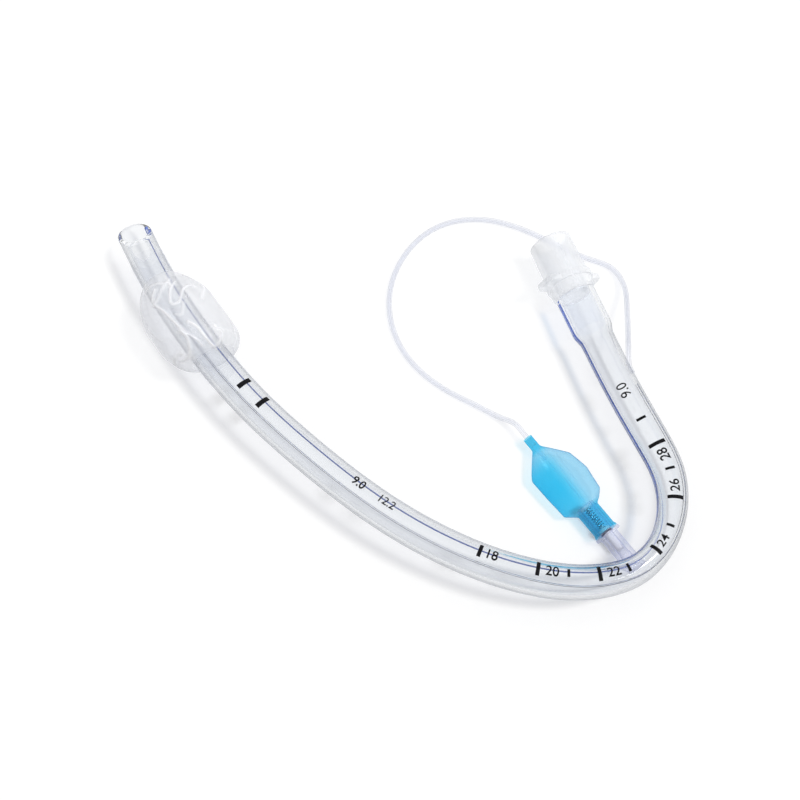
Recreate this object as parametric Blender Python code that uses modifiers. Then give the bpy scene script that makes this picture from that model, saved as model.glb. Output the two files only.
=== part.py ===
# Cuffed endotracheal tube, laid down curved side flat on a bench.
# Metres, +Z up. The bench is z = 0, and the origin is under the middle of the tube, cuff
# and connector. The tube lies on three things: its cuff, the pilot valve that it crosses
# and one ear of its connector.
import math

import bmesh
import bpy
import numpy as np
from mathutils import Matrix, Vector

MM = 0.001
FIT_GAP = 0.3 * MM                 # clearance between pieces that are bonded or pressed together

# Shaft
TUBE_OUTER = 12.2 * MM
TUBE_BORE = 9.0 * MM
TUBE_SIDES = 20
BEND_FLATTENING = 0.24             # how far the sharp bend squeezes the section in its own plane
BEND_STATION = 246 * MM            # distances along the shaft are measured from its tip
BEND_SPREAD = 24 * MM
BEVEL_LENGTH = 15.6 * MM           # how far the slanted tip runs along the shaft
EYE_STATION = 12.0 * MM
EYE_LENGTH = 9.0 * MM
EYE_WIDTH = 6.6 * MM
SEAM_ANGLE_TIP = 66.0              # degrees above the outside of the curve, at the tip
SEAM_ANGLE_END = 46.0              # the same at the machine end: the shaft is slightly twisted
TWIST_START = 181 * MM
TWIST_END = 263 * MM
INFLATION_BORE = 0.8 * MM          # small lumen that runs inside the wall of the shaft
NOTCH_STATION = 43.0 * MM          # where that lumen opens under the cuff
SLOT_LENGTH = 9.0 * MM             # where the inflation line enters it
SLOT_DEPTH = 1.15 * MM
SLOT_SETBACK = 20.2 * MM           # from the middle of the slot to the end of the nipple
RING_STEP = 8.5 * MM               # spacing of the shaft's rings: straight, bent and at the nipple
RING_STEP_BENT = 5.0 * MM
RING_STEP_NIPPLE = 2.0 * MM

# Cuff
CUFF_RADIUS = 14.4 * MM            # at its top and bottom
CUFF_SIDE_RADIUS = 13.5 * MM
CUFF_SLANT = 1.75 * MM             # how much sooner the bag ends on the outside of the curve
CUFF_FILM = 0.35 * MM
CUFF_START = 18.8 * MM
CUFF_LENGTH = 53.4 * MM
COLLAR_LENGTH_TIP = 10.4 * MM
COLLAR_LENGTH_BACK = 6.5 * MM
CUFF_SIDES = 36

# Fifteen millimetre connector, sizes along its own axis from the end of the shaft
CONE_RADIUS_MOUTH = 7.65 * MM
CONE_RADIUS_BASE = 7.85 * MM
CONE_LENGTH = 15.6 * MM
CONE_WALL = 1.5 * MM
EAR_REACH = 12.7 * MM
EAR_WIDTH = 8.8 * MM
EAR_THICKNESS = 2.6 * MM
EAR_ROUNDING = 1.1 * MM
EAR_TURN = 32.0                    # degrees that the pair of ears is turned from level
FLANGE_RADIUS = 8.6 * MM
HUB_RADIUS = 8.0 * MM
HUB_LENGTH = 4.4 * MM
HUB_CHAMFER = 1.5 * MM
NIPPLE_RADIUS = 5.5 * MM
NIPPLE_LENGTH = 13.5 * MM
NIPPLE_WALL = 1.05 * MM
STRETCHED_WALL = 1.4 * MM          # wall of the shaft where the nipple stretches it

# Inflation line
LINE_OUTER = 1.9 * MM
LINE_IN_SLOT = 4.4 * MM            # length of line that lies in the slot
LINE_LIFT = 1.4 * MM               # how far it has risen where it leaves the slot
LINE_IN_NECK = 3.5 * MM

# Pilot balloon, sizes along its own axis from the end of its neck
NECK_RADIUS = 1.65 * MM
NECK_LENGTH = 4.6 * MM
PILOT_LENGTH = 42.0 * MM
PILOT_HALF_WIDTH = 9.6 * MM
PILOT_HALF_THICKNESS = 4.5 * MM
PILOT_FILM = 0.4 * MM
SLEEVE_LENGTH = 9.6 * MM
SLEEVE_LIP = 0.35 * MM
# Share of the bag's length, and the share of its full half width that it has swelled to there
PILOT_SHAPE = [(0.0, 0.0), (0.05, 0.10), (0.15, 0.42), (0.26, 0.76), (0.34, 0.91), (0.43, 0.97),
               (0.59, 1.0), (0.73, 0.98), (0.81, 0.91), (0.87, 0.75), (0.93, 0.45), (1.0, 0.0)]

# Pilot valve, sizes along the same axis from the balloon side of its flange
VALVE_FLANGE_RADIUS = 4.8 * MM
VALVE_FLANGE_THICKNESS = 1.0 * MM
INSERT_LENGTH = 11.6 * MM
INSERT_WALL = 0.9 * MM
LUER_RADIUS = 3.3 * MM
LUER_LENGTH = 15.0 * MM
LUER_MOUTH_RADIUS = 2.15 * MM
LUER_TAPER = 0.2 * MM
LUER_DEPTH = 7.0 * MM
SEAT_BORE_RADIUS = 1.75 * MM
PLUNGER_RADIUS = 1.4 * MM
PLUNGER_HEAD_THICKNESS = 1.0 * MM
PLUNGER_NOSE = 7.5 * MM
SEAL_THICKNESS = 0.5 * MM
SPRING_WIRE = 0.4 * MM
SPRING_MEAN_RADIUS = 1.15 * MM
SPRING_TURNS = 8
RETAINER_THICKNESS = 0.8 * MM
BOSS_RADIUS = 0.6 * MM
BOSS_LENGTH = 1.1 * MM

# How the tube lies: the reach of the shaft's middle line along X and Y, and the shift that
# brings the middle of the tube, cuff and connector to the origin
LAY_WIDTH = 188.5 * MM
LAY_DEPTH = 133.8 * MM
BENCH_SHIFT = Vector((2.6, 5.16)) * MM
CUFF_REST = (-72.0, 20.0)          # where the cuff touches the bench
CUFF_CLEARANCE = 0.15 * MM         # what the cuff's facets stand off it there

# Places on the bench in millimetres, as they are with the reach above
SHAFT_ROUTE = [(-97.9, 64.9), (-85.8, 41.1), (-73.8, 22.4), (-59.7, 3.8), (-48.6, -8.6),
               (-33.2, -23.1), (-17.2, -36.5), (-0.5, -48.4), (17.1, -58.1), (39.4, -66.3),
               (59.0, -68.9), (69.4, -67.6), (77.0, -64.7), (83.2, -59.6), (88.2, -51.4),
               (90.6, -41.0), (89.7, -30.5), (86.0, -20.9), (81.4, -11.2), (74.8, 3.4),
               (68.5, 18.8), (62.1, 35.0)]
LINE_ROUTE = [(79.4, 21.2, 12.7), (80.2, 30.6, 8.6), (80.8, 38.1, 5.0), (80.0, 45.0, 2.3),
              (76.6, 50.6, 1.1), (69.1, 54.1, 1.0), (58.4, 59.2, 1.0),
              (44.7, 66.3, 1.0), (29.8, 70.2, 1.0), (13.9, 67.2, 1.0), (2.2, 56.4, 1.0),
              (-3.4, 42.3, 1.0), (-2.9, 28.2, 1.0), (3.5, 14.7, 1.0), (17.6, 2.5, 1.0),
              (28.0, -3.2, 1.2), (35.6, -7.6, 2.2)]
PILOT_NECK = (43.9, -15.7)
PILOT_HEADING = -52.5              # degrees from +X, towards the mouth of the valve
VALVE_UNDER_SHAFT = (78.6, -63.0)  # where the shaft rests on the valve

COLOURS = {
    "shaft": (0.82, 0.87, 0.90, 0.35), "cuff": (0.86, 0.88, 0.91, 0.45),
    "connector": (0.90, 0.92, 0.94, 0.7), "line": (0.86, 0.88, 0.93, 0.6),
    "pilot": (0.10, 0.62, 0.88, 0.6), "valve": (0.72, 0.75, 0.92, 0.5),
    "white": (0.92, 0.93, 0.93, 1.0), "seal": (0.25, 0.27, 0.30, 1.0),
    "steel": (0.55, 0.57, 0.60, 1.0),
}


def clear_scene():
    for obj in list(bpy.data.objects):
        bpy.data.objects.remove(obj, do_unlink=True)


def make_collection(name):
    collection = bpy.data.collections.new(name)
    bpy.context.scene.collection.children.link(collection)
    return collection


def make_material(name, colour, roughness=0.25, metallic=0.0):
    material = bpy.data.materials.new(name)
    material.use_nodes = True
    shader = material.node_tree.nodes["Principled BSDF"]
    shader.inputs["Base Color"].default_value = colour[:3] + (1.0,)
    shader.inputs["Roughness"].default_value = roughness
    shader.inputs["Metallic"].default_value = metallic
    shader.inputs["Alpha"].default_value = colour[3]
    material.diffuse_color = colour
    return material


def add_object(name, data, collection, material=None, matrix=None):
    obj = bpy.data.objects.new(name, data)
    collection.objects.link(obj)
    if material:
        data.materials.append(material)
    if matrix:
        obj.matrix_world = matrix
    return obj


# Curves that run smoothly through hand-placed points

def smooth_curve(points, per_span=24):
    """Natural cubic spline through the points, as closely spaced positions."""
    pts = np.array(points, dtype=float)
    knots = np.concatenate([[0.0], np.cumsum(np.linalg.norm(np.diff(pts, axis=0), axis=1))])
    gaps = np.diff(knots)
    count = len(pts)
    system = np.eye(count)
    right = np.zeros_like(pts)
    for i in range(1, count - 1):
        system[i, i - 1:i + 2] = gaps[i - 1], 2 * (gaps[i - 1] + gaps[i]), gaps[i]
        right[i] = 6 * ((pts[i + 1] - pts[i]) / gaps[i] - (pts[i] - pts[i - 1]) / gaps[i - 1])
    bend = np.linalg.solve(system, right)
    out = []
    for i in range(count - 1):
        for t in np.linspace(0, gaps[i], per_span, endpoint=False):
            a = gaps[i] - t
            h = gaps[i]
            out.append((bend[i] * a ** 3 + bend[i + 1] * t ** 3) / (6 * h)
                       + (pts[i] / h - bend[i] * h / 6) * a
                       + (pts[i + 1] / h - bend[i + 1] * h / 6) * t)
    out.append(pts[-1])
    return np.array(out)


class Path:
    """A dense polyline that can be asked for its position and heading at any distance."""

    def __init__(self, dense):
        self.points = dense
        steps = np.linalg.norm(np.diff(dense, axis=0), axis=1)
        self.distance = np.concatenate([[0.0], np.cumsum(steps)])
        self.length = float(self.distance[-1])

    def at(self, s):
        if s > self.length:
            return Vector(self.points[-1]) + self.heading(self.length) * float(s - self.length)
        return Vector([np.interp(s, self.distance, self.points[:, k]) for k in range(3)])

    def heading(self, s, reach=0.4 * MM):
        low = max(0.0, min(s, self.length) - reach)
        high = min(self.length, max(s, 0.0) + reach)
        a = Vector([np.interp(low, self.distance, self.points[:, k]) for k in range(3)])
        b = Vector([np.interp(high, self.distance, self.points[:, k]) for k in range(3)])
        return (b - a).normalized()


def bench_point(xy):
    across = [x for x, y in SHAFT_ROUTE]
    along = [y for x, y in SHAFT_ROUTE]
    x = xy[0] * LAY_WIDTH / (max(across) - min(across))
    y = xy[1] * LAY_DEPTH / (max(along) - min(along))
    return Vector((x, y)) + BENCH_SHIFT


# The three supports fix the plane that the shaft's centre line lies in

def bend_squeeze(s):
    return BEND_FLATTENING * math.exp(-((s - BEND_STATION) / BEND_SPREAD) ** 2)


def half_height(s):
    """Half of the shaft's height above the bench plane, which grows where the bend is squeezed."""
    return TUBE_OUTER / 2 * (1 + 0.8 * bend_squeeze(s))


def flat_route():
    return [bench_point(p) for p in SHAFT_ROUTE]


def ear_low_corner():
    """Place and depth of the lowest corner of the connector's ears, from the connector's axis."""
    end = flat_route()[-1]
    before = flat_route()[-2]
    ahead = (end - before).normalized()
    turn = math.radians(EAR_TURN)
    side = EAR_REACH * math.cos(turn) - EAR_WIDTH / 2 * math.sin(turn)
    drop = EAR_REACH * math.sin(turn) + EAR_WIDTH / 2 * math.cos(turn)
    drop -= EAR_ROUNDING * (math.sin(turn) + math.cos(turn) - 1)
    outward = Vector((ahead.y, -ahead.x))
    return end + ahead * (FIT_GAP + HUB_LENGTH + EAR_THICKNESS / 2) + outward * side, drop


def rest_plane():
    """Height of the centre line as a + b x + c y."""
    valve_top = VALVE_FLANGE_RADIUS + LUER_RADIUS + FIT_GAP
    ear, drop = ear_low_corner()
    supports = [
        (bench_point(CUFF_REST), CUFF_RADIUS + CUFF_CLEARANCE),
        (bench_point(VALVE_UNDER_SHAFT), valve_top + half_height(BEND_STATION - BEND_SPREAD / 2)),
        (ear, drop),
    ]
    rows = [[1.0, place.x, place.y] for place, height in supports]
    return np.linalg.solve(np.array(rows), np.array([height for place, height in supports]))


def shaft_path():
    level, slope_x, slope_y = rest_plane()
    flat = smooth_curve([(p.x, p.y) for p in flat_route()])
    height = level + slope_x * flat[:, 0] + slope_y * flat[:, 1]
    return Path(np.column_stack([flat, height]))


def shaft_up():
    level, slope_x, slope_y = rest_plane()
    return Vector((-slope_x, -slope_y, 1.0)).normalized()


def shaft_frame(path, s):
    """Centre, heading, outside of the curve and up, at a distance along the shaft."""
    heading = path.heading(s)
    up = shaft_up()
    outward = heading.cross(up).normalized()
    return path.at(s), heading, outward, up


def seam_angle(s):
    share = min(1.0, max(0.0, (s - TWIST_START) / (TWIST_END - TWIST_START)))
    ease = share * share * (3 - 2 * share)
    return math.radians(SEAM_ANGLE_TIP + (SEAM_ANGLE_END - SEAM_ANGLE_TIP) * ease)


def seam_direction(path, s):
    centre, heading, outward, up = shaft_frame(path, s)
    angle = seam_angle(s)
    return outward * math.cos(angle) + up * math.sin(angle)


# Mesh helpers

def loft(name, rings, closed, collection, material):
    """Skin through rings of equal count. A closed loft joins its last ring to its first."""
    mesh = bpy.data.meshes.new(name)
    bm = bmesh.new()
    rows = [[bm.verts.new(p) for p in ring] for ring in rings]
    count = len(rows[0])
    pairs = list(zip(rows, rows[1:] + rows[:1])) if closed else list(zip(rows, rows[1:]))
    for low, high in pairs:
        for i in range(count):
            j = (i + 1) % count
            bm.faces.new((low[i], low[j], high[j], high[i]))
    bmesh.ops.recalc_face_normals(bm, faces=bm.faces)
    bm.to_mesh(mesh)
    bm.free()
    mesh.shade_smooth()
    mesh.set_sharp_from_angle(angle=math.radians(40))
    return add_object(name, mesh, collection, material)


def turned(name, profile, sides, collection, material=None, matrix=None):
    """Turn an outline of (radius, height) pairs, outer side first from top to bottom.

    The outline closes on itself, unless it starts and ends on the axis.
    """
    mesh = bpy.data.meshes.new(name)
    edges = [(i, i + 1) for i in range(len(profile) - 1)]
    if profile[0][0] > 0.0:
        edges.append((len(profile) - 1, 0))
    mesh.from_pydata([(r, 0.0, z) for r, z in profile], edges, [])
    obj = add_object(name, mesh, collection, material, matrix)
    screw = obj.modifiers.new("turn", "SCREW")
    screw.axis = "Z"
    screw.steps = sides
    screw.render_steps = sides
    screw.use_merge_vertices = True
    screw.merge_threshold = 0.00001
    screw.use_smooth_shade = True
    return obj


def boolean(target, cutter, operation="DIFFERENCE"):
    modifier = target.modifiers.new(operation.lower(), "BOOLEAN")
    modifier.operation = operation
    modifier.solver = "EXACT"
    modifier.object = cutter


def hide_cutter(obj):
    obj.hide_render = True
    obj.display_type = "WIRE"


def block(name, size, matrix, collection):
    mesh = bpy.data.meshes.new(name)
    bm = bmesh.new()
    bmesh.ops.create_cube(bm, size=1.0)
    bmesh.ops.scale(bm, vec=size, verts=bm.verts)
    bm.to_mesh(mesh)
    bm.free()
    return add_object(name, mesh, collection, None, matrix)


def round_bar(name, radius, length, sides, matrix, collection):
    mesh = bpy.data.meshes.new(name)
    bm = bmesh.new()
    bmesh.ops.create_cone(bm, cap_ends=True, segments=sides, radius1=radius, radius2=radius,
                          depth=length)
    bm.to_mesh(mesh)
    bm.free()
    return add_object(name, mesh, collection, None, matrix)


def slotted_pin(name, length, width, depth, matrix, collection):
    """Cutter with half-round ends: local X along the slot, local Z through the wall."""
    mesh = bpy.data.meshes.new(name)
    bm = bmesh.new()
    straight = length / 2 - width / 2
    outline = []
    for side in (1, -1):
        for angle in np.linspace(-math.pi / 2, math.pi / 2, 7):
            outline.append((side * (straight + width / 2 * math.cos(angle)),
                            side * width / 2 * math.sin(angle)))
    verts = [bm.verts.new((x, y, -depth / 2)) for x, y in outline]
    face = bm.faces.new(verts)
    lifted = bmesh.ops.extrude_face_region(bm, geom=[face])
    top = [item for item in lifted["geom"] if isinstance(item, bmesh.types.BMVert)]
    bmesh.ops.translate(bm, vec=(0, 0, depth), verts=top)
    bmesh.ops.recalc_face_normals(bm, faces=bm.faces)
    bm.to_mesh(mesh)
    bm.free()
    return add_object(name, mesh, collection, None, matrix)


def axes_matrix(origin, x_axis, y_axis, z_axis):
    matrix = Matrix((x_axis, y_axis, z_axis)).transposed().to_4x4()
    matrix.translation = origin
    return matrix


def tube_curve(name, points, radius, collection, material=None, resolution=2):
    curve = bpy.data.curves.new(name, "CURVE")
    curve.dimensions = "3D"
    curve.bevel_depth = radius
    curve.bevel_resolution = resolution
    curve.use_fill_caps = True
    spline = curve.splines.new("POLY")
    spline.points.add(len(points) - 1)
    for target, point in zip(spline.points, points):
        target.co = (point[0], point[1], point[2], 1.0)
    return add_object(name, curve, collection, material)


def curve_to_mesh(obj, collection):
    """Mesh copy of a curve object with its caps welded, for use in a boolean."""
    depsgraph = bpy.context.evaluated_depsgraph_get()
    mesh = bpy.data.meshes.new_from_object(obj.evaluated_get(depsgraph))
    bm = bmesh.new()
    bm.from_mesh(mesh)
    bmesh.ops.remove_doubles(bm, verts=bm.verts, dist=0.01 * MM)
    bmesh.ops.recalc_face_normals(bm, faces=bm.faces)
    bm.to_mesh(mesh)
    bm.free()
    name = obj.name
    matrix = obj.matrix_world.copy()
    bpy.data.objects.remove(obj, do_unlink=True)
    return add_object(name, mesh, collection, None, matrix)


# Shaft

def shaft_bore_radius(s, length):
    """Bore, opened out where the connector's nipple is pressed in."""
    nipple_end = length - NIPPLE_LENGTH
    share = min(1.0, max(0.0, (s - nipple_end + 6 * MM) / (5.5 * MM)))
    ease = share * share * (3 - 2 * share)
    return TUBE_BORE / 2 + (NIPPLE_RADIUS + FIT_GAP - TUBE_BORE / 2) * ease, ease


def shaft_ring(path, s, inner):
    centre, heading, outward, up = shaft_frame(path, s)
    bore, stretch = shaft_bore_radius(s, path.length)
    wall = (TUBE_OUTER - TUBE_BORE) / 2
    wall = wall + (STRETCHED_WALL - wall) * stretch
    radius = bore if inner else bore + wall
    thick = wall if inner else 0.0
    squeeze = bend_squeeze(s)
    outer = bore + wall
    across = outer * (1 - squeeze) - thick
    along_up = outer * (1 + 0.8 * squeeze) - thick
    if squeeze < 0.002:
        across = along_up = radius
    ring = []
    for i in range(TUBE_SIDES):
        angle = 2 * math.pi * i / TUBE_SIDES
        ring.append(centre + outward * across * math.cos(angle) + up * along_up * math.sin(angle))
    return ring


def shaft_stations(length):
    stations = [0.0]
    while stations[-1] < length - 1 * MM:
        s = stations[-1]
        tight = abs(s - BEND_STATION) < 1.6 * BEND_SPREAD
        opening = length - NIPPLE_LENGTH - 8 * MM < s < length - NIPPLE_LENGTH
        step = RING_STEP_NIPPLE if opening else RING_STEP_BENT if tight else RING_STEP
        stations.append(min(length, s + step))
    stations[-1] = length
    return stations


def make_shaft(path, collection, cutters, material):
    stations = shaft_stations(path.length)
    outer = [shaft_ring(path, s, False) for s in stations]
    inner = [shaft_ring(path, s, True) for s in reversed(stations)]
    shaft = loft("tube", outer + inner, True, collection, material)

    # Slanted tip: the opening faces up, so the wall under it is the longest
    centre, heading, outward, up = shaft_frame(path, BEVEL_LENGTH / 2)
    size = 4 * TUBE_OUTER
    # The cutter's lower face is the slanted plane, on the tip's side of it
    tip_side = (up * BEVEL_LENGTH - heading * TUBE_OUTER).normalized()
    plane_along = outward.cross(tip_side).normalized()
    matrix = axes_matrix(centre + tip_side * size / 2, outward, plane_along, tip_side)
    bevel = block("bevel_cutter", (size, size, size), matrix, cutters)
    boolean(shaft, bevel)

    # Side eye in the long wall
    centre, heading, outward, up = shaft_frame(path, EYE_STATION)
    matrix = axes_matrix(centre - up * TUBE_OUTER / 2, heading, up.cross(heading), up)
    eye = slotted_pin("eye_cutter", EYE_LENGTH, EYE_WIDTH, TUBE_OUTER / 2, matrix, cutters)
    boolean(shaft, eye)

    # Slot for the inflation line, and the small lumen from the slot to the notch under the cuff
    slot_middle = slot_station(path)
    centre, heading, outward, up = shaft_frame(path, slot_middle)
    seam = seam_direction(path, slot_middle)
    wall_middle = (TUBE_OUTER + TUBE_BORE) / 4
    deep = 4 * MM
    place = centre + seam * (TUBE_OUTER / 2 - SLOT_DEPTH + deep / 2)
    width = LINE_OUTER + 2 * FIT_GAP
    matrix = axes_matrix(place, heading, seam.cross(heading), seam)
    slot = slotted_pin("slot_cutter", SLOT_LENGTH, width, deep, matrix, cutters)
    boolean(shaft, slot)

    lumen_points = []
    stop = slot_middle
    for s in np.arange(NOTCH_STATION, stop, 5 * MM):
        lumen_points.append(wall_point(path, s, wall_middle))
    lumen_points.append(wall_point(path, stop, wall_middle))
    lumen = tube_curve("lumen_cutter", lumen_points, INFLATION_BORE / 2, cutters, None, 1)
    lumen = curve_to_mesh(lumen, cutters)
    boolean(shaft, lumen)

    centre, heading, outward, up = shaft_frame(path, NOTCH_STATION)
    seam = seam_direction(path, NOTCH_STATION)
    place = centre + seam * (wall_middle + deep / 2)
    matrix = axes_matrix(place, heading, seam.cross(heading), seam)
    notch = slotted_pin("notch_cutter", 3.5 * MM, 1.4 * MM, deep, matrix, cutters)
    boolean(shaft, notch)
    for cutter in (bevel, eye, slot, lumen, notch):
        hide_cutter(cutter)
    return shaft


def wall_point(path, s, radius):
    """A point inside the wall on the seam side, which follows the squeezed section."""
    centre, heading, outward, up = shaft_frame(path, s)
    angle = seam_angle(s)
    squeeze = bend_squeeze(s)
    margin = TUBE_OUTER / 2 - radius
    across = TUBE_OUTER / 2 * (1 - squeeze) - margin
    along_up = TUBE_OUTER / 2 * (1 + 0.8 * squeeze) - margin
    return centre + outward * across * math.cos(angle) + up * along_up * math.sin(angle)


def slot_station(path):
    return path.length - NIPPLE_LENGTH - SLOT_SETBACK


# Cuff

def cuff_span(angle):
    """Where the bag of the cuff starts and ends, on one side of the shaft."""
    start = CUFF_START + COLLAR_LENGTH_TIP
    return start, CUFF_START + CUFF_LENGTH - COLLAR_LENGTH_BACK - CUFF_SLANT * math.cos(angle)


def cuff_radius(share, angle):
    """Radius of the film at a share of the bag's length."""
    collar = TUBE_OUTER / 2 + FIT_GAP + CUFF_FILM
    full = CUFF_RADIUS - (CUFF_RADIUS - CUFF_SIDE_RADIUS) * math.cos(angle) ** 2
    rise = 1 - (1 - min(1.0, share / 0.45)) ** 2.2
    fall = 1 - max(0.0, (share - 0.5) / 0.5) ** (6.0 - 2.0 * math.cos(angle))
    return collar + (full - collar) * min(rise, fall) * (1 - cuff_crease(share, angle))


def cuff_crease(share, angle):
    """Share of the swelling lost to pleats near the collars and two long soft folds on top."""
    near_tip = math.exp(-((share - 0.16) / 0.13) ** 2)
    near_back = math.exp(-((share - 0.86) / 0.10) ** 2)
    tip_pleats = (0.5 + 0.5 * math.cos(7 * angle + 0.6)) ** 2
    back_pleats = (0.5 + 0.5 * math.cos(6 * angle + 2.0)) ** 2
    middle = math.sin(math.pi * share)
    first = math.exp(-((angle - math.radians(118 - 50 * share)) / 0.16) ** 2)
    second = math.exp(-((angle - math.radians(62 + 30 * share)) / 0.14) ** 2)
    return (0.16 * near_tip * tip_pleats + 0.13 * near_back * back_pleats
            + 0.14 * middle * first + 0.11 * middle * second)


def make_cuff(path, collection, material):
    collar = TUBE_OUTER / 2 + FIT_GAP + CUFF_FILM
    ease = (1 - np.cos(np.linspace(0, math.pi, 20))) / 2
    rows = [-1.0, -0.5] + list(ease) + [1.5, 2.0]
    rings = []
    for row in rows:
        ring = []
        for i in range(CUFF_SIDES):
            angle = 2 * math.pi * i / CUFF_SIDES
            start, stop = cuff_span(angle)
            if row < 0.0:
                s = start + row * (start - CUFF_START)
                radius = collar
            elif row > 1.0:
                s = stop + (row - 1) * (CUFF_START + CUFF_LENGTH - stop)
                radius = collar
            else:
                s = start + row * (stop - start)
                radius = cuff_radius(row, angle)
            centre, heading, outward, up = shaft_frame(path, s)
            ring.append(centre + (outward * math.cos(angle) + up * math.sin(angle)) * radius)
        rings.append(ring)
    cuff = loft("cuff", rings, False, collection, material)
    solid = cuff.modifiers.new("film", "SOLIDIFY")
    solid.thickness = CUFF_FILM
    solid.offset = -1.0
    return cuff


# Connector

def connector_matrix(path):
    centre, heading, outward, up = shaft_frame(path, path.length)
    return axes_matrix(centre, -outward, up, heading)


def make_connector(path, collection, cutters, material):
    matrix = connector_matrix(path)
    hub_low = FIT_GAP
    plate_low = hub_low + HUB_LENGTH
    plate_high = plate_low + EAR_THICKNESS
    mouth = plate_high + CONE_LENGTH
    edge = 0.4 * MM
    bore_cone = CONE_RADIUS_MOUTH - CONE_WALL
    bore_nipple = NIPPLE_RADIUS - NIPPLE_WALL
    profile = [
        (CONE_RADIUS_MOUTH - edge, mouth), (CONE_RADIUS_MOUTH, mouth - edge),
        (CONE_RADIUS_BASE, plate_high), (FLANGE_RADIUS, plate_high - edge),
        (FLANGE_RADIUS, plate_low + edge), (HUB_RADIUS, plate_low),
        (HUB_RADIUS, hub_low + HUB_CHAMFER), (HUB_RADIUS - HUB_CHAMFER / 2, hub_low),
        (NIPPLE_RADIUS, hub_low), (NIPPLE_RADIUS, -NIPPLE_LENGTH + 2 * edge),
        (NIPPLE_RADIUS - edge, -NIPPLE_LENGTH), (bore_nipple + edge / 2, -NIPPLE_LENGTH),
        (bore_nipple, -NIPPLE_LENGTH + edge), (bore_nipple, -1.4 * MM),
        (bore_cone - 2 * edge, 1.4 * MM), (bore_cone - edge, mouth - edge),
        (bore_cone, mouth),
    ]
    connector = turned("connector", profile, 40, collection, material, matrix)
    ears_low = plate_low + 0.05 * MM
    thickness = EAR_THICKNESS - 0.1 * MM
    turn = Matrix.Rotation(math.radians(EAR_TURN), 4, "Z")
    lift = Matrix.Translation((0, 0, ears_low + thickness / 2))
    ears = block("ears", (2 * EAR_REACH, EAR_WIDTH, thickness), matrix @ turn @ lift, cutters)
    rounding = ears.modifiers.new("corners", "BEVEL")
    rounding.width = EAR_ROUNDING
    rounding.segments = 2
    rounding.limit_method = "ANGLE"
    # The middle of the ears is cleared inside the connector's wall, so its bore stays open
    middle = Matrix.Translation((0, 0, (plate_low + plate_high) / 2))
    core = round_bar("ears_core_cutter", HUB_RADIUS - 1 * MM, 3 * EAR_THICKNESS, 24,
                     matrix @ middle, cutters)
    boolean(ears, core)
    boolean(connector, ears, "UNION")
    hide_cutter(ears)
    hide_cutter(core)
    return connector


# Pilot balloon and its valve, along one level axis

def pilot_matrix():
    heading = math.radians(PILOT_HEADING)
    along = Vector((math.cos(heading), math.sin(heading), 0.0))
    up = Vector((0.0, 0.0, 1.0))
    place = bench_point(PILOT_NECK)
    origin = Vector((place.x, place.y, VALVE_FLANGE_RADIUS))
    return axes_matrix(origin, up.cross(along), up, along)


def sleeve_radius():
    return LUER_RADIUS + 0.1 * MM + FIT_GAP + PILOT_FILM


def pilot_outline(share):
    """Half width and half thickness of the bag at a share of its length."""
    low = NECK_RADIUS + (sleeve_radius() - NECK_RADIUS) * share
    swell = float(np.interp(share, [at for at, size in PILOT_SHAPE],
                            [size for at, size in PILOT_SHAPE]))
    return low + (PILOT_HALF_WIDTH - low) * swell, low + (PILOT_HALF_THICKNESS - low) * swell


def make_pilot_balloon(collection, material):
    matrix = pilot_matrix()
    bag = PILOT_LENGTH - SLEEVE_LENGTH - NECK_LENGTH
    sleeve = sleeve_radius()
    rows = [(0.0, NECK_RADIUS, NECK_RADIUS)]
    for share, size in PILOT_SHAPE:
        rows.append((NECK_LENGTH + bag * share,) + pilot_outline(share))
    rows.append((PILOT_LENGTH - 3 * SLEEVE_LIP, sleeve, sleeve))
    rows.append((PILOT_LENGTH - 1.5 * SLEEVE_LIP, sleeve + SLEEVE_LIP, sleeve + SLEEVE_LIP))
    rows.append((PILOT_LENGTH, sleeve + SLEEVE_LIP, sleeve + SLEEVE_LIP))
    rings = []
    for t, wide, thick in rows:
        pinch = min(1.0, max(0.0, (wide - thick) / PILOT_HALF_THICKNESS))
        ring = []
        for i in range(24):
            angle = 2 * math.pi * i / 24
            x = wide * math.cos(angle)
            y = thick * math.sin(angle) * (1 - 0.28 * pinch * abs(math.cos(angle)) ** 3)
            ring.append(matrix @ Vector((x, y, t)))
        rings.append(ring)
    balloon = loft("pilot_balloon", rings, False, collection, material)
    solid = balloon.modifiers.new("film", "SOLIDIFY")
    solid.thickness = PILOT_FILM
    solid.offset = -1.0
    return balloon


def valve_matrix():
    return pilot_matrix() @ Matrix.Translation((0, 0, PILOT_LENGTH + FIT_GAP))


def insert_radius():
    return sleeve_radius() - PILOT_FILM - FIT_GAP


def insert_bore():
    return insert_radius() - INSERT_WALL


def seat_face():
    return 0.4 * MM


def make_valve_body(collection, material):
    mouth = VALVE_FLANGE_THICKNESS + LUER_LENGTH
    edge = 0.25 * MM
    inner_luer = LUER_MOUTH_RADIUS - LUER_TAPER
    profile = [
        (LUER_RADIUS - edge, mouth), (LUER_RADIUS, mouth - edge),
        (LUER_RADIUS, VALVE_FLANGE_THICKNESS), (VALVE_FLANGE_RADIUS, VALVE_FLANGE_THICKNESS),
        (VALVE_FLANGE_RADIUS, 0.0), (insert_radius(), 0.0),
        (insert_radius(), -INSERT_LENGTH + edge), (insert_radius() - edge, -INSERT_LENGTH),
        (insert_bore(), -INSERT_LENGTH), (insert_bore(), seat_face()),
        (SEAT_BORE_RADIUS, seat_face()), (SEAT_BORE_RADIUS, mouth - LUER_DEPTH),
        (inner_luer, mouth - LUER_DEPTH), (LUER_MOUTH_RADIUS, mouth),
    ]
    return turned("valve_body", profile, 28, collection, material, valve_matrix())


def seal_span():
    high = seat_face() - FIT_GAP
    return high - SEAL_THICKNESS, high


def head_span():
    high = seal_span()[0] - FIT_GAP
    return high - PLUNGER_HEAD_THICKNESS, high


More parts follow.
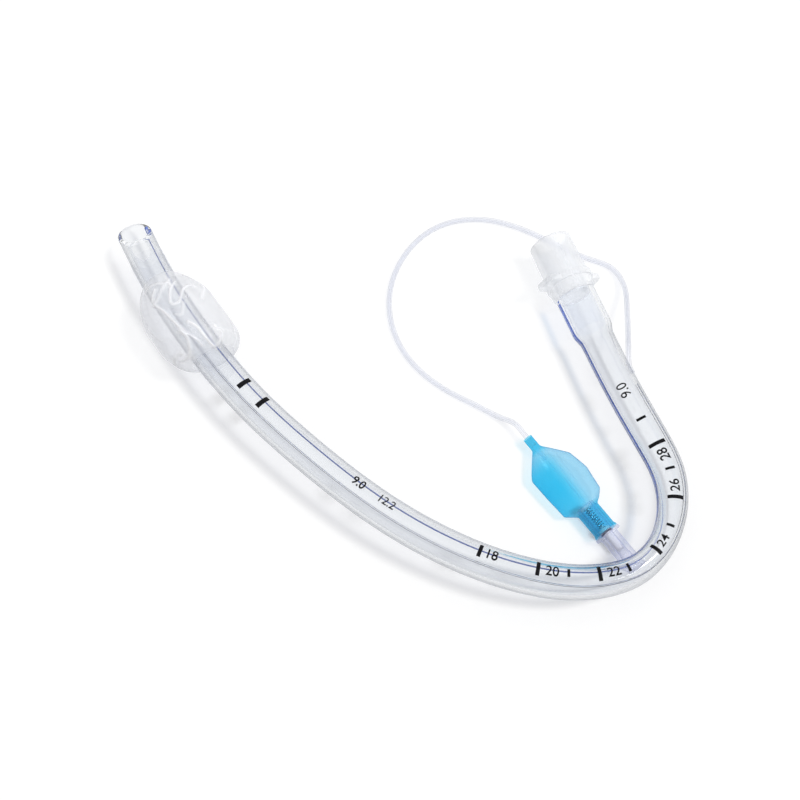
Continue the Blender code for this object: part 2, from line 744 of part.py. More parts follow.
def make_plunger(collection, material):
    head_low, head_high = head_span()
    head_radius = insert_bore() - FIT_GAP
    boss_low = head_low - BOSS_LENGTH
    profile = [
        (0.0, PLUNGER_NOSE),
        (PLUNGER_RADIUS - 0.3 * MM, PLUNGER_NOSE), (PLUNGER_RADIUS, PLUNGER_NOSE - 0.3 * MM),
        (PLUNGER_RADIUS, head_high), (head_radius, head_high), (head_radius, head_low),
        (BOSS_RADIUS, head_low), (BOSS_RADIUS, boss_low + 0.2 * MM),
        (BOSS_RADIUS - 0.2 * MM, boss_low), (0.0, boss_low),
    ]
    return turned("valve_plunger", profile, 20, collection, material, valve_matrix())


def make_seal(collection, material):
    low, high = seal_span()
    outer = insert_bore() - FIT_GAP
    inner = PLUNGER_RADIUS + FIT_GAP
    profile = [(outer, high), (outer, low), (inner, low), (inner, high)]
    return turned("valve_seal", profile, 20, collection, material, valve_matrix())


def retainer_top():
    return -INSERT_LENGTH + RETAINER_THICKNESS + 0.4 * MM


def make_retainer(collection, cutters, material):
    """Disc pressed into the end of the insert, with three air holes and a boss for the spring."""
    high = retainer_top()
    low = high - RETAINER_THICKNESS
    radius = insert_bore() - FIT_GAP
    profile = [(0.0, high + BOSS_LENGTH), (BOSS_RADIUS, high + BOSS_LENGTH), (BOSS_RADIUS, high),
               (radius, high), (radius, low), (0.0, low)]
    retainer = turned("valve_retainer", profile, 20, collection, material, valve_matrix())
    hole_ring = (radius + BOSS_RADIUS) / 2
    hole_radius = (radius - BOSS_RADIUS) / 3
    for k in range(3):
        angle = 2 * math.pi * (k + 0.5) / 3
        spot = Vector((hole_ring * math.cos(angle), hole_ring * math.sin(angle), (high + low) / 2))
        hole = round_bar(f"air_hole_cutter_{k + 1}", hole_radius, 3 * RETAINER_THICKNESS, 10,
                         valve_matrix() @ Matrix.Translation(spot), cutters)
        boolean(retainer, hole)
        hide_cutter(hole)
    return retainer


def make_spring(collection, material):
    low = retainer_top() + FIT_GAP + SPRING_WIRE / 2
    high = head_span()[0] - FIT_GAP - SPRING_WIRE / 2
    matrix = valve_matrix()
    per_turn = 10
    count = SPRING_TURNS * per_turn
    points = []
    for i in range(count + 1):
        share = i / count
        angle = 2 * math.pi * i / per_turn
        points.append(matrix @ Vector((SPRING_MEAN_RADIUS * math.cos(angle),
                                       SPRING_MEAN_RADIUS * math.sin(angle),
                                       low + (high - low) * share)))
    return tube_curve("valve_spring", points, SPRING_WIRE / 2, collection, material)


# Inflation line

def line_start(path):
    """Points of the line while it lies in its slot, and just after it leaves."""
    middle = slot_station(path)
    height = TUBE_OUTER / 2 - SLOT_DEPTH + FIT_GAP + LINE_OUTER / 2
    points = []
    spots = [(-0.45 * LINE_IN_SLOT, 0.0), (0.05 * LINE_IN_SLOT, 0.0), (0.4 * SLOT_LENGTH, LINE_LIFT)]
    for offset, lift in spots:
        s = middle + offset
        points.append(path.at(s) + seam_direction(path, s) * (height + lift))
    return points


def make_line(path, collection, material):
    route = [tuple(p) for p in line_start(path)]
    for x, y, z in LINE_ROUTE:
        place = bench_point((x, y))
        route.append((place.x, place.y, z * MM))
    matrix = pilot_matrix()
    for t in (-6.0 * MM, -2.0 * MM, LINE_IN_NECK):
        route.append(tuple(matrix @ Vector((0.0, 0.0, t))))
    dense = Path(smooth_curve(route))
    count = int(dense.length / (2.9 * LINE_OUTER)) + 1
    points = [dense.at(dense.length * i / (count - 1)) for i in range(count)]
    return tube_curve("inflation_line", points, LINE_OUTER / 2, collection, material)


def main():
    clear_scene()
    parts = make_collection("endotracheal_tube")
    cutters = make_collection("cutters")
    materials = {
        "shaft": make_material("clear_shaft", COLOURS["shaft"], 0.12),
        "cuff": make_material("cuff_film", COLOURS["cuff"], 0.3),
        "connector": make_material("frosted_connector", COLOURS["connector"], 0.35),
        "line": make_material("line_clear", COLOURS["line"], 0.2),
        "pilot": make_material("pilot_blue", COLOURS["pilot"], 0.2),
        "valve": make_material("valve_clear", COLOURS["valve"], 0.12),
        "white": make_material("plunger_white", COLOURS["white"], 0.4),
        "seal": make_material("seal_rubber", COLOURS["seal"], 0.7),
        "steel": make_material("spring_steel", COLOURS["steel"], 0.25, 1.0),
    }
    path = shaft_path()
    make_shaft(path, parts, cutters, materials["shaft"])
    make_cuff(path, parts, materials["cuff"])
    make_connector(path, parts, cutters, materials["connector"])
    make_line(path, parts, materials["line"])
    make_pilot_balloon(parts, materials["pilot"])
    make_valve_body(parts, materials["valve"])
    make_plunger(parts, materials["white"])
    make_seal(parts, materials["seal"])
    make_spring(parts, materials["steel"])
    make_retainer(parts, cutters, materials["white"])


main()
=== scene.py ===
import math

import bmesh
import bpy
import numpy as np
from mathutils import Matrix, Vector


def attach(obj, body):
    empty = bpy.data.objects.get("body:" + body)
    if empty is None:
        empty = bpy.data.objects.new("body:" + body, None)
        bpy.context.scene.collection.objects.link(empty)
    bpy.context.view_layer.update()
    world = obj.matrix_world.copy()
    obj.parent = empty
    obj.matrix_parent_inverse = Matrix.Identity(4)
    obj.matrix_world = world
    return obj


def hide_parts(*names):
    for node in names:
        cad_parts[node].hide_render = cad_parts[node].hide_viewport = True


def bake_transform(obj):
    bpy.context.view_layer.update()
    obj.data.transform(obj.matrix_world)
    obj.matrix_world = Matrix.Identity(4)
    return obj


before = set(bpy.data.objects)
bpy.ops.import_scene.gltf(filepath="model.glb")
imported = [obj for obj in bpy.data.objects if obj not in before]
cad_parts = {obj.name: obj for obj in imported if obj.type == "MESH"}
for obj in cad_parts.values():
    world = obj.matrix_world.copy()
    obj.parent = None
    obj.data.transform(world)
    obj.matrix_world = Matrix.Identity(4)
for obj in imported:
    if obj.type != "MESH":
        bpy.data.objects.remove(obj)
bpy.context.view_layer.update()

mm = 0.001

# camera first, then the route that the cord follows

view = {
    "place": (2.6, -167.58, 474.59),   # mm
    "elevation": 70.0,
    "lens": 64.67,
}
cameraData = bpy.data.cameras.new("camera")
cameraData.lens = view["lens"]
cameraData.sensor_width = 36.0
cameraData.clip_start = 0.01
cameraData.clip_end = 20.0
camera = bpy.data.objects.new("camera", cameraData)
bpy.context.scene.collection.objects.link(camera)
camera.location = [v * mm for v in view["place"]]
camera.rotation_euler = (math.radians(90.0 - view["elevation"]), 0.0, 0.0)
bpy.context.scene.camera = camera
print("camera ready")

lay = {
    "shift": (2.6, 5.16),                       # bench place of the photographed middle, mm
    "plane": (14.25785, -0.02330667, -0.0526761),   # height of the shaft's middle: mm, slope x, slope y
    "shaft": [(-97.9, 64.9), (-85.8, 41.1), (-73.8, 22.4), (-59.7, 3.8), (-48.6, -8.6),
              (-33.2, -23.1), (-17.2, -36.5), (-0.5, -48.4), (17.1, -58.1), (39.4, -66.3),
              (59.0, -68.9), (69.4, -67.6), (77.0, -64.7), (83.2, -59.6), (88.2, -51.4),
              (90.6, -41.0), (89.7, -30.5), (86.0, -20.9), (81.4, -11.2), (74.8, 3.4),
              (68.5, 18.8), (62.1, 35.0)],
    "line": [(79.4, 21.2, 12.7), (80.2, 30.6, 8.6), (80.8, 38.1, 5.0),
             (80.0, 45.0, 2.3), (76.6, 50.6, 1.1), (69.1, 54.1, 1.0), (58.4, 59.2, 1.0),
             (44.7, 66.3, 1.0), (29.8, 70.2, 1.0), (13.9, 67.2, 1.0), (2.2, 56.4, 1.0),
             (-3.4, 42.3, 1.0), (-2.9, 28.2, 1.0), (3.5, 14.7, 1.0), (17.6, 2.5, 1.0),
             (28.0, -3.2, 1.2), (35.6, -7.6, 2.2)],
    "pilotNeck": (43.9, -15.7, 4.8),
    "pilotHeading": -52.5,                      # degrees
}


def unit(v):
    return v / np.linalg.norm(v, axis=-1, keepdims=True)


def ease(x):
    x = np.clip(x, 0.0, 1.0)
    return x * x * (3.0 - 2.0 * x)


def throughPoints(points, count=4000):
    # natural cubic spline: second derivatives solve a tridiagonal system, then each span is read
    pts = np.array(points, float)
    knots = np.r_[0.0, np.cumsum(np.linalg.norm(np.diff(pts, axis=0), axis=1))]
    h = np.diff(knots)
    n = len(pts)
    i = np.arange(1, n - 1)
    system = np.eye(n)
    system[i, i - 1] = h[:-1]
    system[i, i] = 2.0 * (h[:-1] + h[1:])
    system[i, i + 1] = h[1:]
    right = np.zeros_like(pts)
    right[1:-1] = 6.0 * np.diff(np.diff(pts, axis=0) / h[:, None], axis=0)
    bend = np.linalg.solve(system, right)
    t = np.linspace(0.0, knots[-1], count)
    k = np.clip(np.searchsorted(knots, t, side="right") - 1, 0, n - 2)
    a = (knots[k + 1] - t)[:, None]
    b = (t - knots[k])[:, None]
    w = h[k][:, None]
    return ((bend[k] * a ** 3 + bend[k + 1] * b ** 3) / (6.0 * w)
            + (pts[k] / w - bend[k] * w / 6.0) * a
            + (pts[k + 1] / w - bend[k + 1] * w / 6.0) * b)


def asPath(dense):
    along = np.r_[0.0, np.cumsum(np.linalg.norm(np.diff(dense, axis=0), axis=1))]
    return {"points": dense, "along": along, "length": float(along[-1])}


def pathAt(path, s):
    return np.stack([np.interp(s, path["along"], path["points"][:, k]) for k in range(3)], -1)


def pathHeading(path, s, reach=0.4 * mm):
    low = np.clip(s - reach, 0.0, path["length"] - 2.0 * reach)
    return unit(pathAt(path, low + 2.0 * reach) - pathAt(path, low))


flat = throughPoints(np.array(lay["shaft"]) + np.array(lay["shift"])) * mm
level, slopeX, slopeY = lay["plane"]
shaftPath = asPath(np.column_stack([flat, level * mm + slopeX * flat[:, 0] + slopeY * flat[:, 1]]))
shaftUp = unit(np.array([-slopeX, -slopeY, 1.0]))
shaftLength = shaftPath["length"]

shaft = {
    "outer": 6.1 * mm, "bore": 4.5 * mm, "flattening": 0.24, "bendStation": 246 * mm,
    "bendSpread": 24 * mm, "bevel": 15.6 * mm, "tipRim": 0.55 * mm, "columns": 144,
    "nippleLength": 13.5 * mm, "nippleBore": 5.56 * mm, "nippleWall": 1.62 * mm,
    "eyeStation": 12.0 * mm, "eyeLength": 9.0 * mm, "eyeWidth": 6.6 * mm,
    "seamTip": 66.0, "seamEnd": 46.0, "twist": (181 * mm, 263 * mm),
    "lumenRadius": 0.3 * mm, "lumenFrom": 43 * mm,
    "slotSetback": 20.2 * mm, "slotLength": 9.0 * mm, "slotDepth": 1.15 * mm,
    "taper": 5.0 * mm, "skinOverNipple": 0.25,
}
slotStation = shaftLength - shaft["nippleLength"] - shaft["slotSetback"]


def shaftFrame(s):
    centre = pathAt(shaftPath, s)
    heading = pathHeading(shaftPath, s)
    outward = unit(np.cross(heading, shaftUp))
    return centre, heading, outward


def shaftPoint(s, angle, depth=0.0, share=None):
    # middle + outward*across*cos(angle) + up*tall*sin(angle), less a depth below the outer skin.
    # share runs from the outer skin, 0, to the bore, 1, and takes the place of depth
    s, angle, depth = np.broadcast_arrays(s, angle, depth)
    centre, heading, outward = shaftFrame(s)
    nippleEnd = shaftLength - shaft["nippleLength"]
    stretch = ease((s - nippleEnd + shaft["taper"]) / shaft["taper"])
    bore = shaft["bore"] + (shaft["nippleBore"] - shaft["bore"]) * stretch
    wall = shaft["outer"] - shaft["bore"]
    wall = wall + (shaft["nippleWall"] - wall) * stretch
    if share is not None:
        depth = wall * share
    squeeze = shaft["flattening"] * np.exp(-((s - shaft["bendStation"]) / shaft["bendSpread"]) ** 2)
    across = (bore + wall) * (1.0 - squeeze) - depth
    tall = (bore + wall) * (1.0 + 0.8 * squeeze) - depth
    return (centre + outward * (across * np.cos(angle))[..., None]
            + shaftUp * (tall * np.sin(angle))[..., None])


def twisted(s, atTip, atEnd):
    # degrees that change over the sharp bend, as radians
    start, stop = shaft["twist"]
    return np.radians(atTip + (atEnd - atTip) * ease((s - start) / (stop - start)))


def seamAngle(s):
    return twisted(s, shaft["seamTip"], shaft["seamEnd"])


# meshes from grids

def gridFaces(rows, columns, closeRows, closeColumns, first=0):
    index = np.arange(rows * columns).reshape(rows, columns) + first
    if closeRows:
        index = np.vstack([index, index[:1]])
    if closeColumns:
        index = np.hstack([index, index[:, :1]])
    return np.stack([index[:-1, :-1], index[:-1, 1:], index[1:, 1:], index[1:, :-1]], -1).reshape(-1, 4)


def volumeOf(points, quads):
    a, b, c, d = (points[quads[:, k]] for k in range(4))
    return float(np.sum(np.einsum("ij,ij->i", a, np.cross(b, c) + np.cross(c, d))))


class Shell:
    # one closed or open skin: points, quads, and optional values for each point
    def __init__(self, grid, closeRows=False, closeColumns=True, inward=False, **values):
        rows, columns = grid.shape[:2]
        self.points = grid.reshape(-1, 3)
        self.quads = gridFaces(rows, columns, closeRows, closeColumns)
        centred = self.points - self.points.mean(0)
        if (volumeOf(centred, self.quads) < 0.0) != inward:
            self.quads = self.quads[:, ::-1]
        self.caps = []
        self.values = {k: np.broadcast_to(v, grid.shape[:2]).reshape(-1) for k, v in values.items()}
        self.rows, self.columns = rows, columns

    def capped(self, first=True, last=True):
        ends = []
        if first:
            ends.append(np.arange(self.columns))
        if last:
            ends.append(np.arange(self.columns) + (self.rows - 1) * self.columns)
        self.caps = ends
        return self


def pieceFrom(name, shells, sharp=40.0):
    start = 0
    points, faces = [], []
    names = sorted({k for shell in shells for k in shell.values})
    values = {k: [] for k in names}
    for shell in shells:
        points.append(shell.points)
        faces.extend((shell.quads + start).tolist())
        faces.extend((cap + start).tolist() for cap in shell.caps)
        for k in names:
            values[k].append(shell.values.get(k, np.zeros(len(shell.points))))
        start += len(shell.points)
    mesh = bpy.data.meshes.new(name)
    mesh.from_pydata(np.concatenate(points), [], faces)
    for k in names:
        attribute = mesh.attributes.new(k, "FLOAT", "POINT")
        attribute.data.foreach_set("value", np.concatenate(values[k]).astype(np.float32))
    if any(shell.caps for shell in shells):
        work = bmesh.new()
        work.from_mesh(mesh)
        bmesh.ops.recalc_face_normals(work, faces=work.faces)
        work.to_mesh(mesh)
        work.free()
    mesh.update()
    mesh.shade_smooth()
    mesh.set_sharp_from_angle(angle=math.radians(sharp))
    piece = bpy.data.objects.new(name, mesh)
    bpy.context.scene.collection.objects.link(piece)
    return piece


def turnedGrid(profile, columns, origin, xAxis, yAxis, axis):
    # point = origin + axis*height + radius*(x*cos + y*sin), for each (radius, height) of the outline
    outline = np.array(profile, float)
    a = np.linspace(0.0, 2.0 * math.pi, columns, endpoint=False)
    ring = np.cos(a)[:, None] * xAxis + np.sin(a)[:, None] * yAxis
    return origin + outline[:, 1, None, None] * axis + outline[:, 0, None, None] * ring


def rounded(profile, radius, steps=4):
    # each corner of a closed outline becomes a short curve: a quadratic through the corner's two cuts
    pts = np.array(profile, float)
    before = np.roll(pts, 1, axis=0) - pts
    after = np.roll(pts, -1, axis=0) - pts
    lengthBefore = np.linalg.norm(before, axis=1, keepdims=True)
    lengthAfter = np.linalg.norm(after, axis=1, keepdims=True)
    cut = np.minimum(radius, 0.45 * np.minimum(lengthBefore, lengthAfter))
    a = pts + before / lengthBefore * cut
    b = pts + after / lengthAfter * cut
    t = np.linspace(0.0, 1.0, steps + 1)[None, :, None]
    curve = a[:, None] * (1 - t) ** 2 + 2.0 * pts[:, None] * t * (1 - t) + b[:, None] * t ** 2
    return curve.reshape(-1, 2)


def finishWith(piece):
    # runs the modifiers once and keeps the result as the piece's own mesh
    bpy.context.view_layer.update()
    graph = bpy.context.evaluated_depsgraph_get()
    mesh = bpy.data.meshes.new_from_object(piece.evaluated_get(graph))
    for modifier in list(piece.modifiers):
        piece.modifiers.remove(modifier)
    piece.data = mesh
    mesh.shade_smooth()
    mesh.set_sharp_from_angle(angle=math.radians(40))


def cutBy(piece, cutter, operation="DIFFERENCE"):
    modifier = piece.modifiers.new("cut", "BOOLEAN")
    modifier.operation = operation
    modifier.solver = "EXACT"
    modifier.object = cutter


def drop(*objects):
    for o in objects:
        bpy.data.objects.remove(o, do_unlink=True)


# materials

def nodeMaker(tree):
    def make(kind, **settings):
        node = tree.nodes.new(kind)
        for key, value in settings.items():
            if key in node.inputs.keys():
                node.inputs[key].default_value = value
            else:
                setattr(node, key, value)
        return node
    return make


def wavySkinGroup():
    # slow tone changes and a fine height, both from noise on Object coordinates
    group = bpy.data.node_groups.new("wavySkin", "ShaderNodeTree")
    for name, value in (("Tone Scale", 60.0), ("Fine Scale", 900.0), ("Fine Share", 0.3)):
        socket = group.interface.new_socket(name=name, in_out="INPUT", socket_type="NodeSocketFloat")
        socket.default_value = value
    group.interface.new_socket(name="Tone", in_out="OUTPUT", socket_type="NodeSocketFloat")
    group.interface.new_socket(name="Height", in_out="OUTPUT", socket_type="NodeSocketFloat")
    make = nodeMaker(group)
    link = group.links.new
    inside = make("NodeGroupInput")
    outside = make("NodeGroupOutput")
    place = make("ShaderNodeTexCoord")
    slow = make("ShaderNodeTexNoise", Detail=2.0, Roughness=0.5)
    fine = make("ShaderNodeTexNoise", Detail=3.0, Roughness=0.6)
    mix = make("ShaderNodeMix", data_type="FLOAT")
    link(place.outputs["Object"], slow.inputs["Vector"])
    link(place.outputs["Object"], fine.inputs["Vector"])
    link(inside.outputs["Tone Scale"], slow.inputs["Scale"])
    link(inside.outputs["Fine Scale"], fine.inputs["Scale"])
    link(inside.outputs["Fine Share"], mix.inputs[0])
    link(slow.outputs["Fac"], mix.inputs[2])
    link(fine.outputs["Fac"], mix.inputs[3])
    link(slow.outputs["Fac"], outside.inputs["Tone"])
    link(mix.outputs[0], outside.inputs["Height"])
    return group


wavySkin = wavySkinGroup()


def skinNodes(make, link, shader, look):
    # tone changes the colour and the roughness a little, and the height goes into a bump
    skin = make("ShaderNodeGroup", node_tree=wavySkin)
    skin.inputs["Tone Scale"].default_value = look.get("toneScale", 60.0)
    skin.inputs["Fine Scale"].default_value = look.get("fineScale", 900.0)
    skin.inputs["Fine Share"].default_value = 0.3
    colour = make("ShaderNodeMix", data_type="RGBA")
    colour.inputs[6].default_value = (*look["colour"], 1.0)
    colour.inputs[7].default_value = (*look.get("otherColour", look["colour"]), 1.0)
    link(skin.outputs["Tone"], colour.inputs[0])
    rough = make("ShaderNodeMapRange")
    rough.inputs["From Min"].default_value = 0.3
    rough.inputs["From Max"].default_value = 0.7
    rough.inputs["To Min"].default_value = look["rough"][0]
    rough.inputs["To Max"].default_value = look["rough"][1]
    link(skin.outputs["Tone"], rough.inputs["Value"])
    link(rough.outputs["Result"], shader.inputs["Roughness"])
    bump = make("ShaderNodeBump", Strength=look.get("bump", 0.1), Distance=0.02 * mm)
    link(skin.outputs["Height"], bump.inputs["Height"])
    link(bump.outputs["Normal"], shader.inputs["Normal"])
    return colour.outputs[2]


def lampOrBounce(make, link):
    # 1 for shadow rays and for light that has bounced off the bench
    path = make("ShaderNodeLightPath")
    either = make("ShaderNodeMath", operation="MAXIMUM")
    link(path.outputs["Is Shadow Ray"], either.inputs[0])
    link(path.outputs["Is Diffuse Ray"], either.inputs[1])
    return either.outputs[0]


def filmMaterial(name, look):
    # thin film: a tinted see-through shader, with the plastic itself where it is seen edge on, creased or
    # thick, and along painted highlight streaks. The thick attribute also deepens the tint, which on one side
    # of the pilot balloon is painted shade, and the film scatters most of its light forward, so its shadow is
    # fainter than the film looks
    material = bpy.data.materials.new(name)
    material.use_nodes = True
    tree = material.node_tree
    tree.nodes.clear()
    make = nodeMaker(tree)
    link = tree.links.new
    shader = make("ShaderNodeBsdfPrincipled", IOR=look.get("ior", 1.45))
    link(skinNodes(make, link, shader, look), shader.inputs["Base Color"])
    thick = make("ShaderNodeAttribute", attribute_name="thick")
    tint = make("ShaderNodeMix", data_type="RGBA")
    tint.inputs[6].default_value = (*look["tint"], 1.0)
    tint.inputs[7].default_value = (*look.get("thickOrShadedTint", look["tint"]), 1.0)
    link(thick.outputs["Fac"], tint.inputs[0])
    lamp = lampOrBounce(make, link)
    pale = make("ShaderNodeMath", operation="MULTIPLY")
    pale.inputs[1].default_value = look.get("shadowPale", 0.0)
    link(lamp, pale.inputs[0])
    paler = make("ShaderNodeMix", data_type="RGBA")
    paler.inputs[7].default_value = (1.0, 1.0, 1.0, 1.0)
    link(pale.outputs[0], paler.inputs[0])
    link(tint.outputs[2], paler.inputs[6])
    through = make("ShaderNodeBsdfTransparent")
    link(paler.outputs[2], through.inputs["Color"])
    fainter = make("ShaderNodeMapRange")
    fainter.inputs["To Min"].default_value = 1.0
    fainter.inputs["To Max"].default_value = look["shadowShare"]
    link(lamp, fainter.inputs["Value"])
    amount = make("ShaderNodeMath", operation="MULTIPLY")
    link(filmAlpha(make, link, look), amount.inputs[0])
    link(fainter.outputs["Result"], amount.inputs[1])
    if "hidden" in look:
        # the part that is pressed into its neighbour hardly shows, as no air lies between them
        inside = make("ShaderNodeAttribute", attribute_name="inside")
        seen = make("ShaderNodeMapRange")
        seen.inputs["To Min"].default_value = 1.0
        seen.inputs["To Max"].default_value = look["hidden"]
        hidden = make("ShaderNodeMath", operation="MULTIPLY")
        link(inside.outputs["Fac"], seen.inputs["Value"])
        link(amount.outputs[0], hidden.inputs[0])
        link(seen.outputs["Result"], hidden.inputs[1])
        amount = hidden
    mix = make("ShaderNodeMixShader")
    link(amount.outputs[0], mix.inputs[0])
    link(through.outputs[0], mix.inputs[1])
    link(shader.outputs[0], mix.inputs[2])
    out = make("ShaderNodeOutputMaterial")
    link(mix.outputs[0], out.inputs["Surface"])
    return material


def plasticMaterial(name, look):
    # clear or solid plastic. Light through it tints the shadow, which is made with a
    # transparent shader for shadow rays and for light that has bounced off the bench
    material = bpy.data.materials.new(name)
    material.use_nodes = True
    tree = material.node_tree
    tree.nodes.clear()
    make = nodeMaker(tree)
    link = tree.links.new
    shader = make("ShaderNodeBsdfPrincipled")
    out = make("ShaderNodeOutputMaterial")
    shader.inputs["IOR"].default_value = look.get("ior", 1.5)
    shader.inputs["Transmission Weight"].default_value = look.get("clear", 0.0)
    shader.inputs["Metallic"].default_value = look.get("metal", 0.0)
    shader.inputs["Specular IOR Level"].default_value = look.get("gloss", 0.5)
    shader.inputs["Subsurface Weight"].default_value = look.get("milky", 0.0)
    if look.get("milky"):
        shader.inputs["Subsurface Radius"].default_value = (1.0, 1.0, 1.0)
        shader.inputs["Subsurface Scale"].default_value = look.get("milkyDepth", 0.002)
    colour = skinNodes(make, link, shader, look)
    if "paintedEdgeShade" in look:
        # painted shade: where the outer skin is seen edge on, its base colour darkens towards near black,
        # standing in for the dark outline that a clear tube shows
        weight = make("ShaderNodeLayerWeight", Blend=look.get("edgeBlend", 0.4))
        edge = make("ShaderNodeMix", data_type="RGBA")
        edge.inputs[7].default_value = (*look["paintedEdgeShade"], 1.0)
        # the skin attribute is 1 on the outer skin, less over the nipple and 0 on the bore
        skin = make("ShaderNodeAttribute", attribute_name="skin")
        outside = make("ShaderNodeMath", operation="MULTIPLY")
        link(weight.outputs["Facing"], outside.inputs[0])
        link(skin.outputs["Fac"], outside.inputs[1])
        link(outside.outputs[0], edge.inputs[0])
        link(colour, edge.inputs[6])
        colour = edge.outputs[2]
    link(colour, shader.inputs["Base Color"])
    if look.get("shadow"):
        clearOf = make("ShaderNodeBsdfTransparent", Color=(*look["shadow"], 1.0))
        if "edgeShadow" in look:
            # a clear tube gathers the light in the middle of its shadow and keeps it from the sides
            slant = make("ShaderNodeLayerWeight", Blend=0.5)
            sides = make("ShaderNodeMapRange", interpolation_type="SMOOTHSTEP")
            sides.inputs["From Min"].default_value = 0.15
            sides.inputs["From Max"].default_value = 0.5
            shade = make("ShaderNodeMix", data_type="RGBA")
            shade.inputs[6].default_value = (*look["shadow"], 1.0)
            shade.inputs[7].default_value = (*look["edgeShadow"], 1.0)
            onSkin = make("ShaderNodeAttribute", attribute_name="skin")
            share = make("ShaderNodeMath", operation="MULTIPLY")
            link(slant.outputs["Facing"], sides.inputs["Value"])
            link(sides.outputs["Result"], share.inputs[0])
            link(onSkin.outputs["Fac"], share.inputs[1])
            link(share.outputs[0], shade.inputs[0])
            link(shade.outputs[2], clearOf.inputs["Color"])
        mix = make("ShaderNodeMixShader")
        link(lampOrBounce(make, link), mix.inputs[0])
        link(shader.outputs[0], mix.inputs[1])
        link(clearOf.outputs[0], mix.inputs[2])
        link(mix.outputs[0], out.inputs["Surface"])
    else:
        link(shader.outputs[0], out.inputs["Surface"])
    return material


def filmAlpha(make, link, look):
    # a film is denser where it is seen edge on, along its creases, and along the painted highlight streaks of
    # the connector's cone
    weight = make("ShaderNodeLayerWeight", Blend=look.get("filmBlend", 0.35))
    facing = make("ShaderNodeMapRange")
    facing.inputs["To Min"].default_value = look["film"][0]
    facing.inputs["To Max"].default_value = look["film"][1]
    link(weight.outputs["Facing"], facing.inputs["Value"])
    crease = make("ShaderNodeAttribute", attribute_name="crease")
    dense = make("ShaderNodeMath", operation="MULTIPLY")
    dense.inputs[1].default_value = look.get("creaseOrSheenWeight", 0.6)
    link(crease.outputs["Fac"], dense.inputs[0])
    total = make("ShaderNodeMath", operation="ADD", use_clamp=True)
    link(facing.outputs["Result"], total.inputs[0])
    link(dense.outputs[0], total.inputs[1])
    return total.outputs[0]


def dress(piece, material, body, slot, *nodes):
    piece.data.materials.clear()
    piece.data.materials.append(material)
    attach(piece, body)
    if nodes:
        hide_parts(*nodes)


# inflation line: it lies in its slot, arcs down to the bench and runs to the pilot balloon

line = {
    "radius": 0.95 * mm, "bore": 0.42 * mm, "inSlot": 4.4 * mm, "lift": 1.4 * mm, "columns": 40,
    # partly the vinyl seen edge on and partly painted shade: the dark blue-grey colour shows only at the
    # line's outline and is darker than the pale vinyl itself
    "look": {"colour": (0.52, 0.56, 0.67), "otherColour": (0.58, 0.61, 0.71), "rough": (0.06, 0.12),
             "bump": 0.01, "fineScale": 120.0, "film": (0.0, 0.9), "filmBlend": 0.14,
             "creaseOrSheenWeight": 0.0, "tint": (0.97, 0.973, 0.985), "shadowShare": 0.5},
}
heading = math.radians(lay["pilotHeading"])
pilotAxis = np.array([math.cos(heading), math.sin(heading), 0.0])
pilotUp = np.array([0.0, 0.0, 1.0])
pilotSide = np.cross(pilotUp, pilotAxis)
shiftPoint = np.array([*lay["shift"], 0.0])
pilotOrigin = (np.array(lay["pilotNeck"]) + shiftPoint) * mm

slotSpots = slotStation + np.array([-0.45 * line["inSlot"], 0.05 * line["inSlot"], 0.4 * shaft["slotLength"]])
slotHeight = shaft["slotDepth"] - 0.3 * mm - line["radius"] - np.array([0.0, 0.0, line["lift"]])
slotPoints = shaftPoint(slotSpots, seamAngle(slotSpots), slotHeight)
benchPoints = (np.array(lay["line"]) + shiftPoint) * mm
neckPoints = pilotOrigin + np.array([-6.0, -2.0, 3.5])[:, None] * mm * pilotAxis
linePath = asPath(throughPoints(np.vstack([slotPoints, benchPoints, neckPoints])))


def carriedRings(path, s, radii, columns):
    # rings square to a path: a fixed side direction is carried along and squared up at each ring
    centre = pathAt(path, s)
    ahead = pathHeading(path, s)
    side = unit(np.cross(ahead, np.array([0.13, 0.21, 1.0])))
    other = np.cross(ahead, side)
    a = np.linspace(0.0, 2.0 * math.pi, columns, endpoint=False)
    ring = np.cos(a)[None, :, None] * side[:, None] + np.sin(a)[None, :, None] * other[:, None]
    return centre[:, None] + ring * np.broadcast_to(radii, s.shape)[:, None, None]


lineS = np.linspace(0.0, linePath["length"], 420)
lineRows = np.concatenate([carriedRings(linePath, lineS, line["radius"], line["columns"]),
                           carriedRings(linePath, lineS[::-1], line["bore"], line["columns"])])
inflationLine = pieceFrom("inflationLine", [Shell(lineRows, closeRows=True)])
dress(inflationLine, filmMaterial("lineVinyl", line["look"]), "body", "line", "inflation_line")
print("inflation line", round(linePath["length"] / mm, 1), "mm")

# shaft: outer skin and bore as one grid, with a slanted, rounded tip

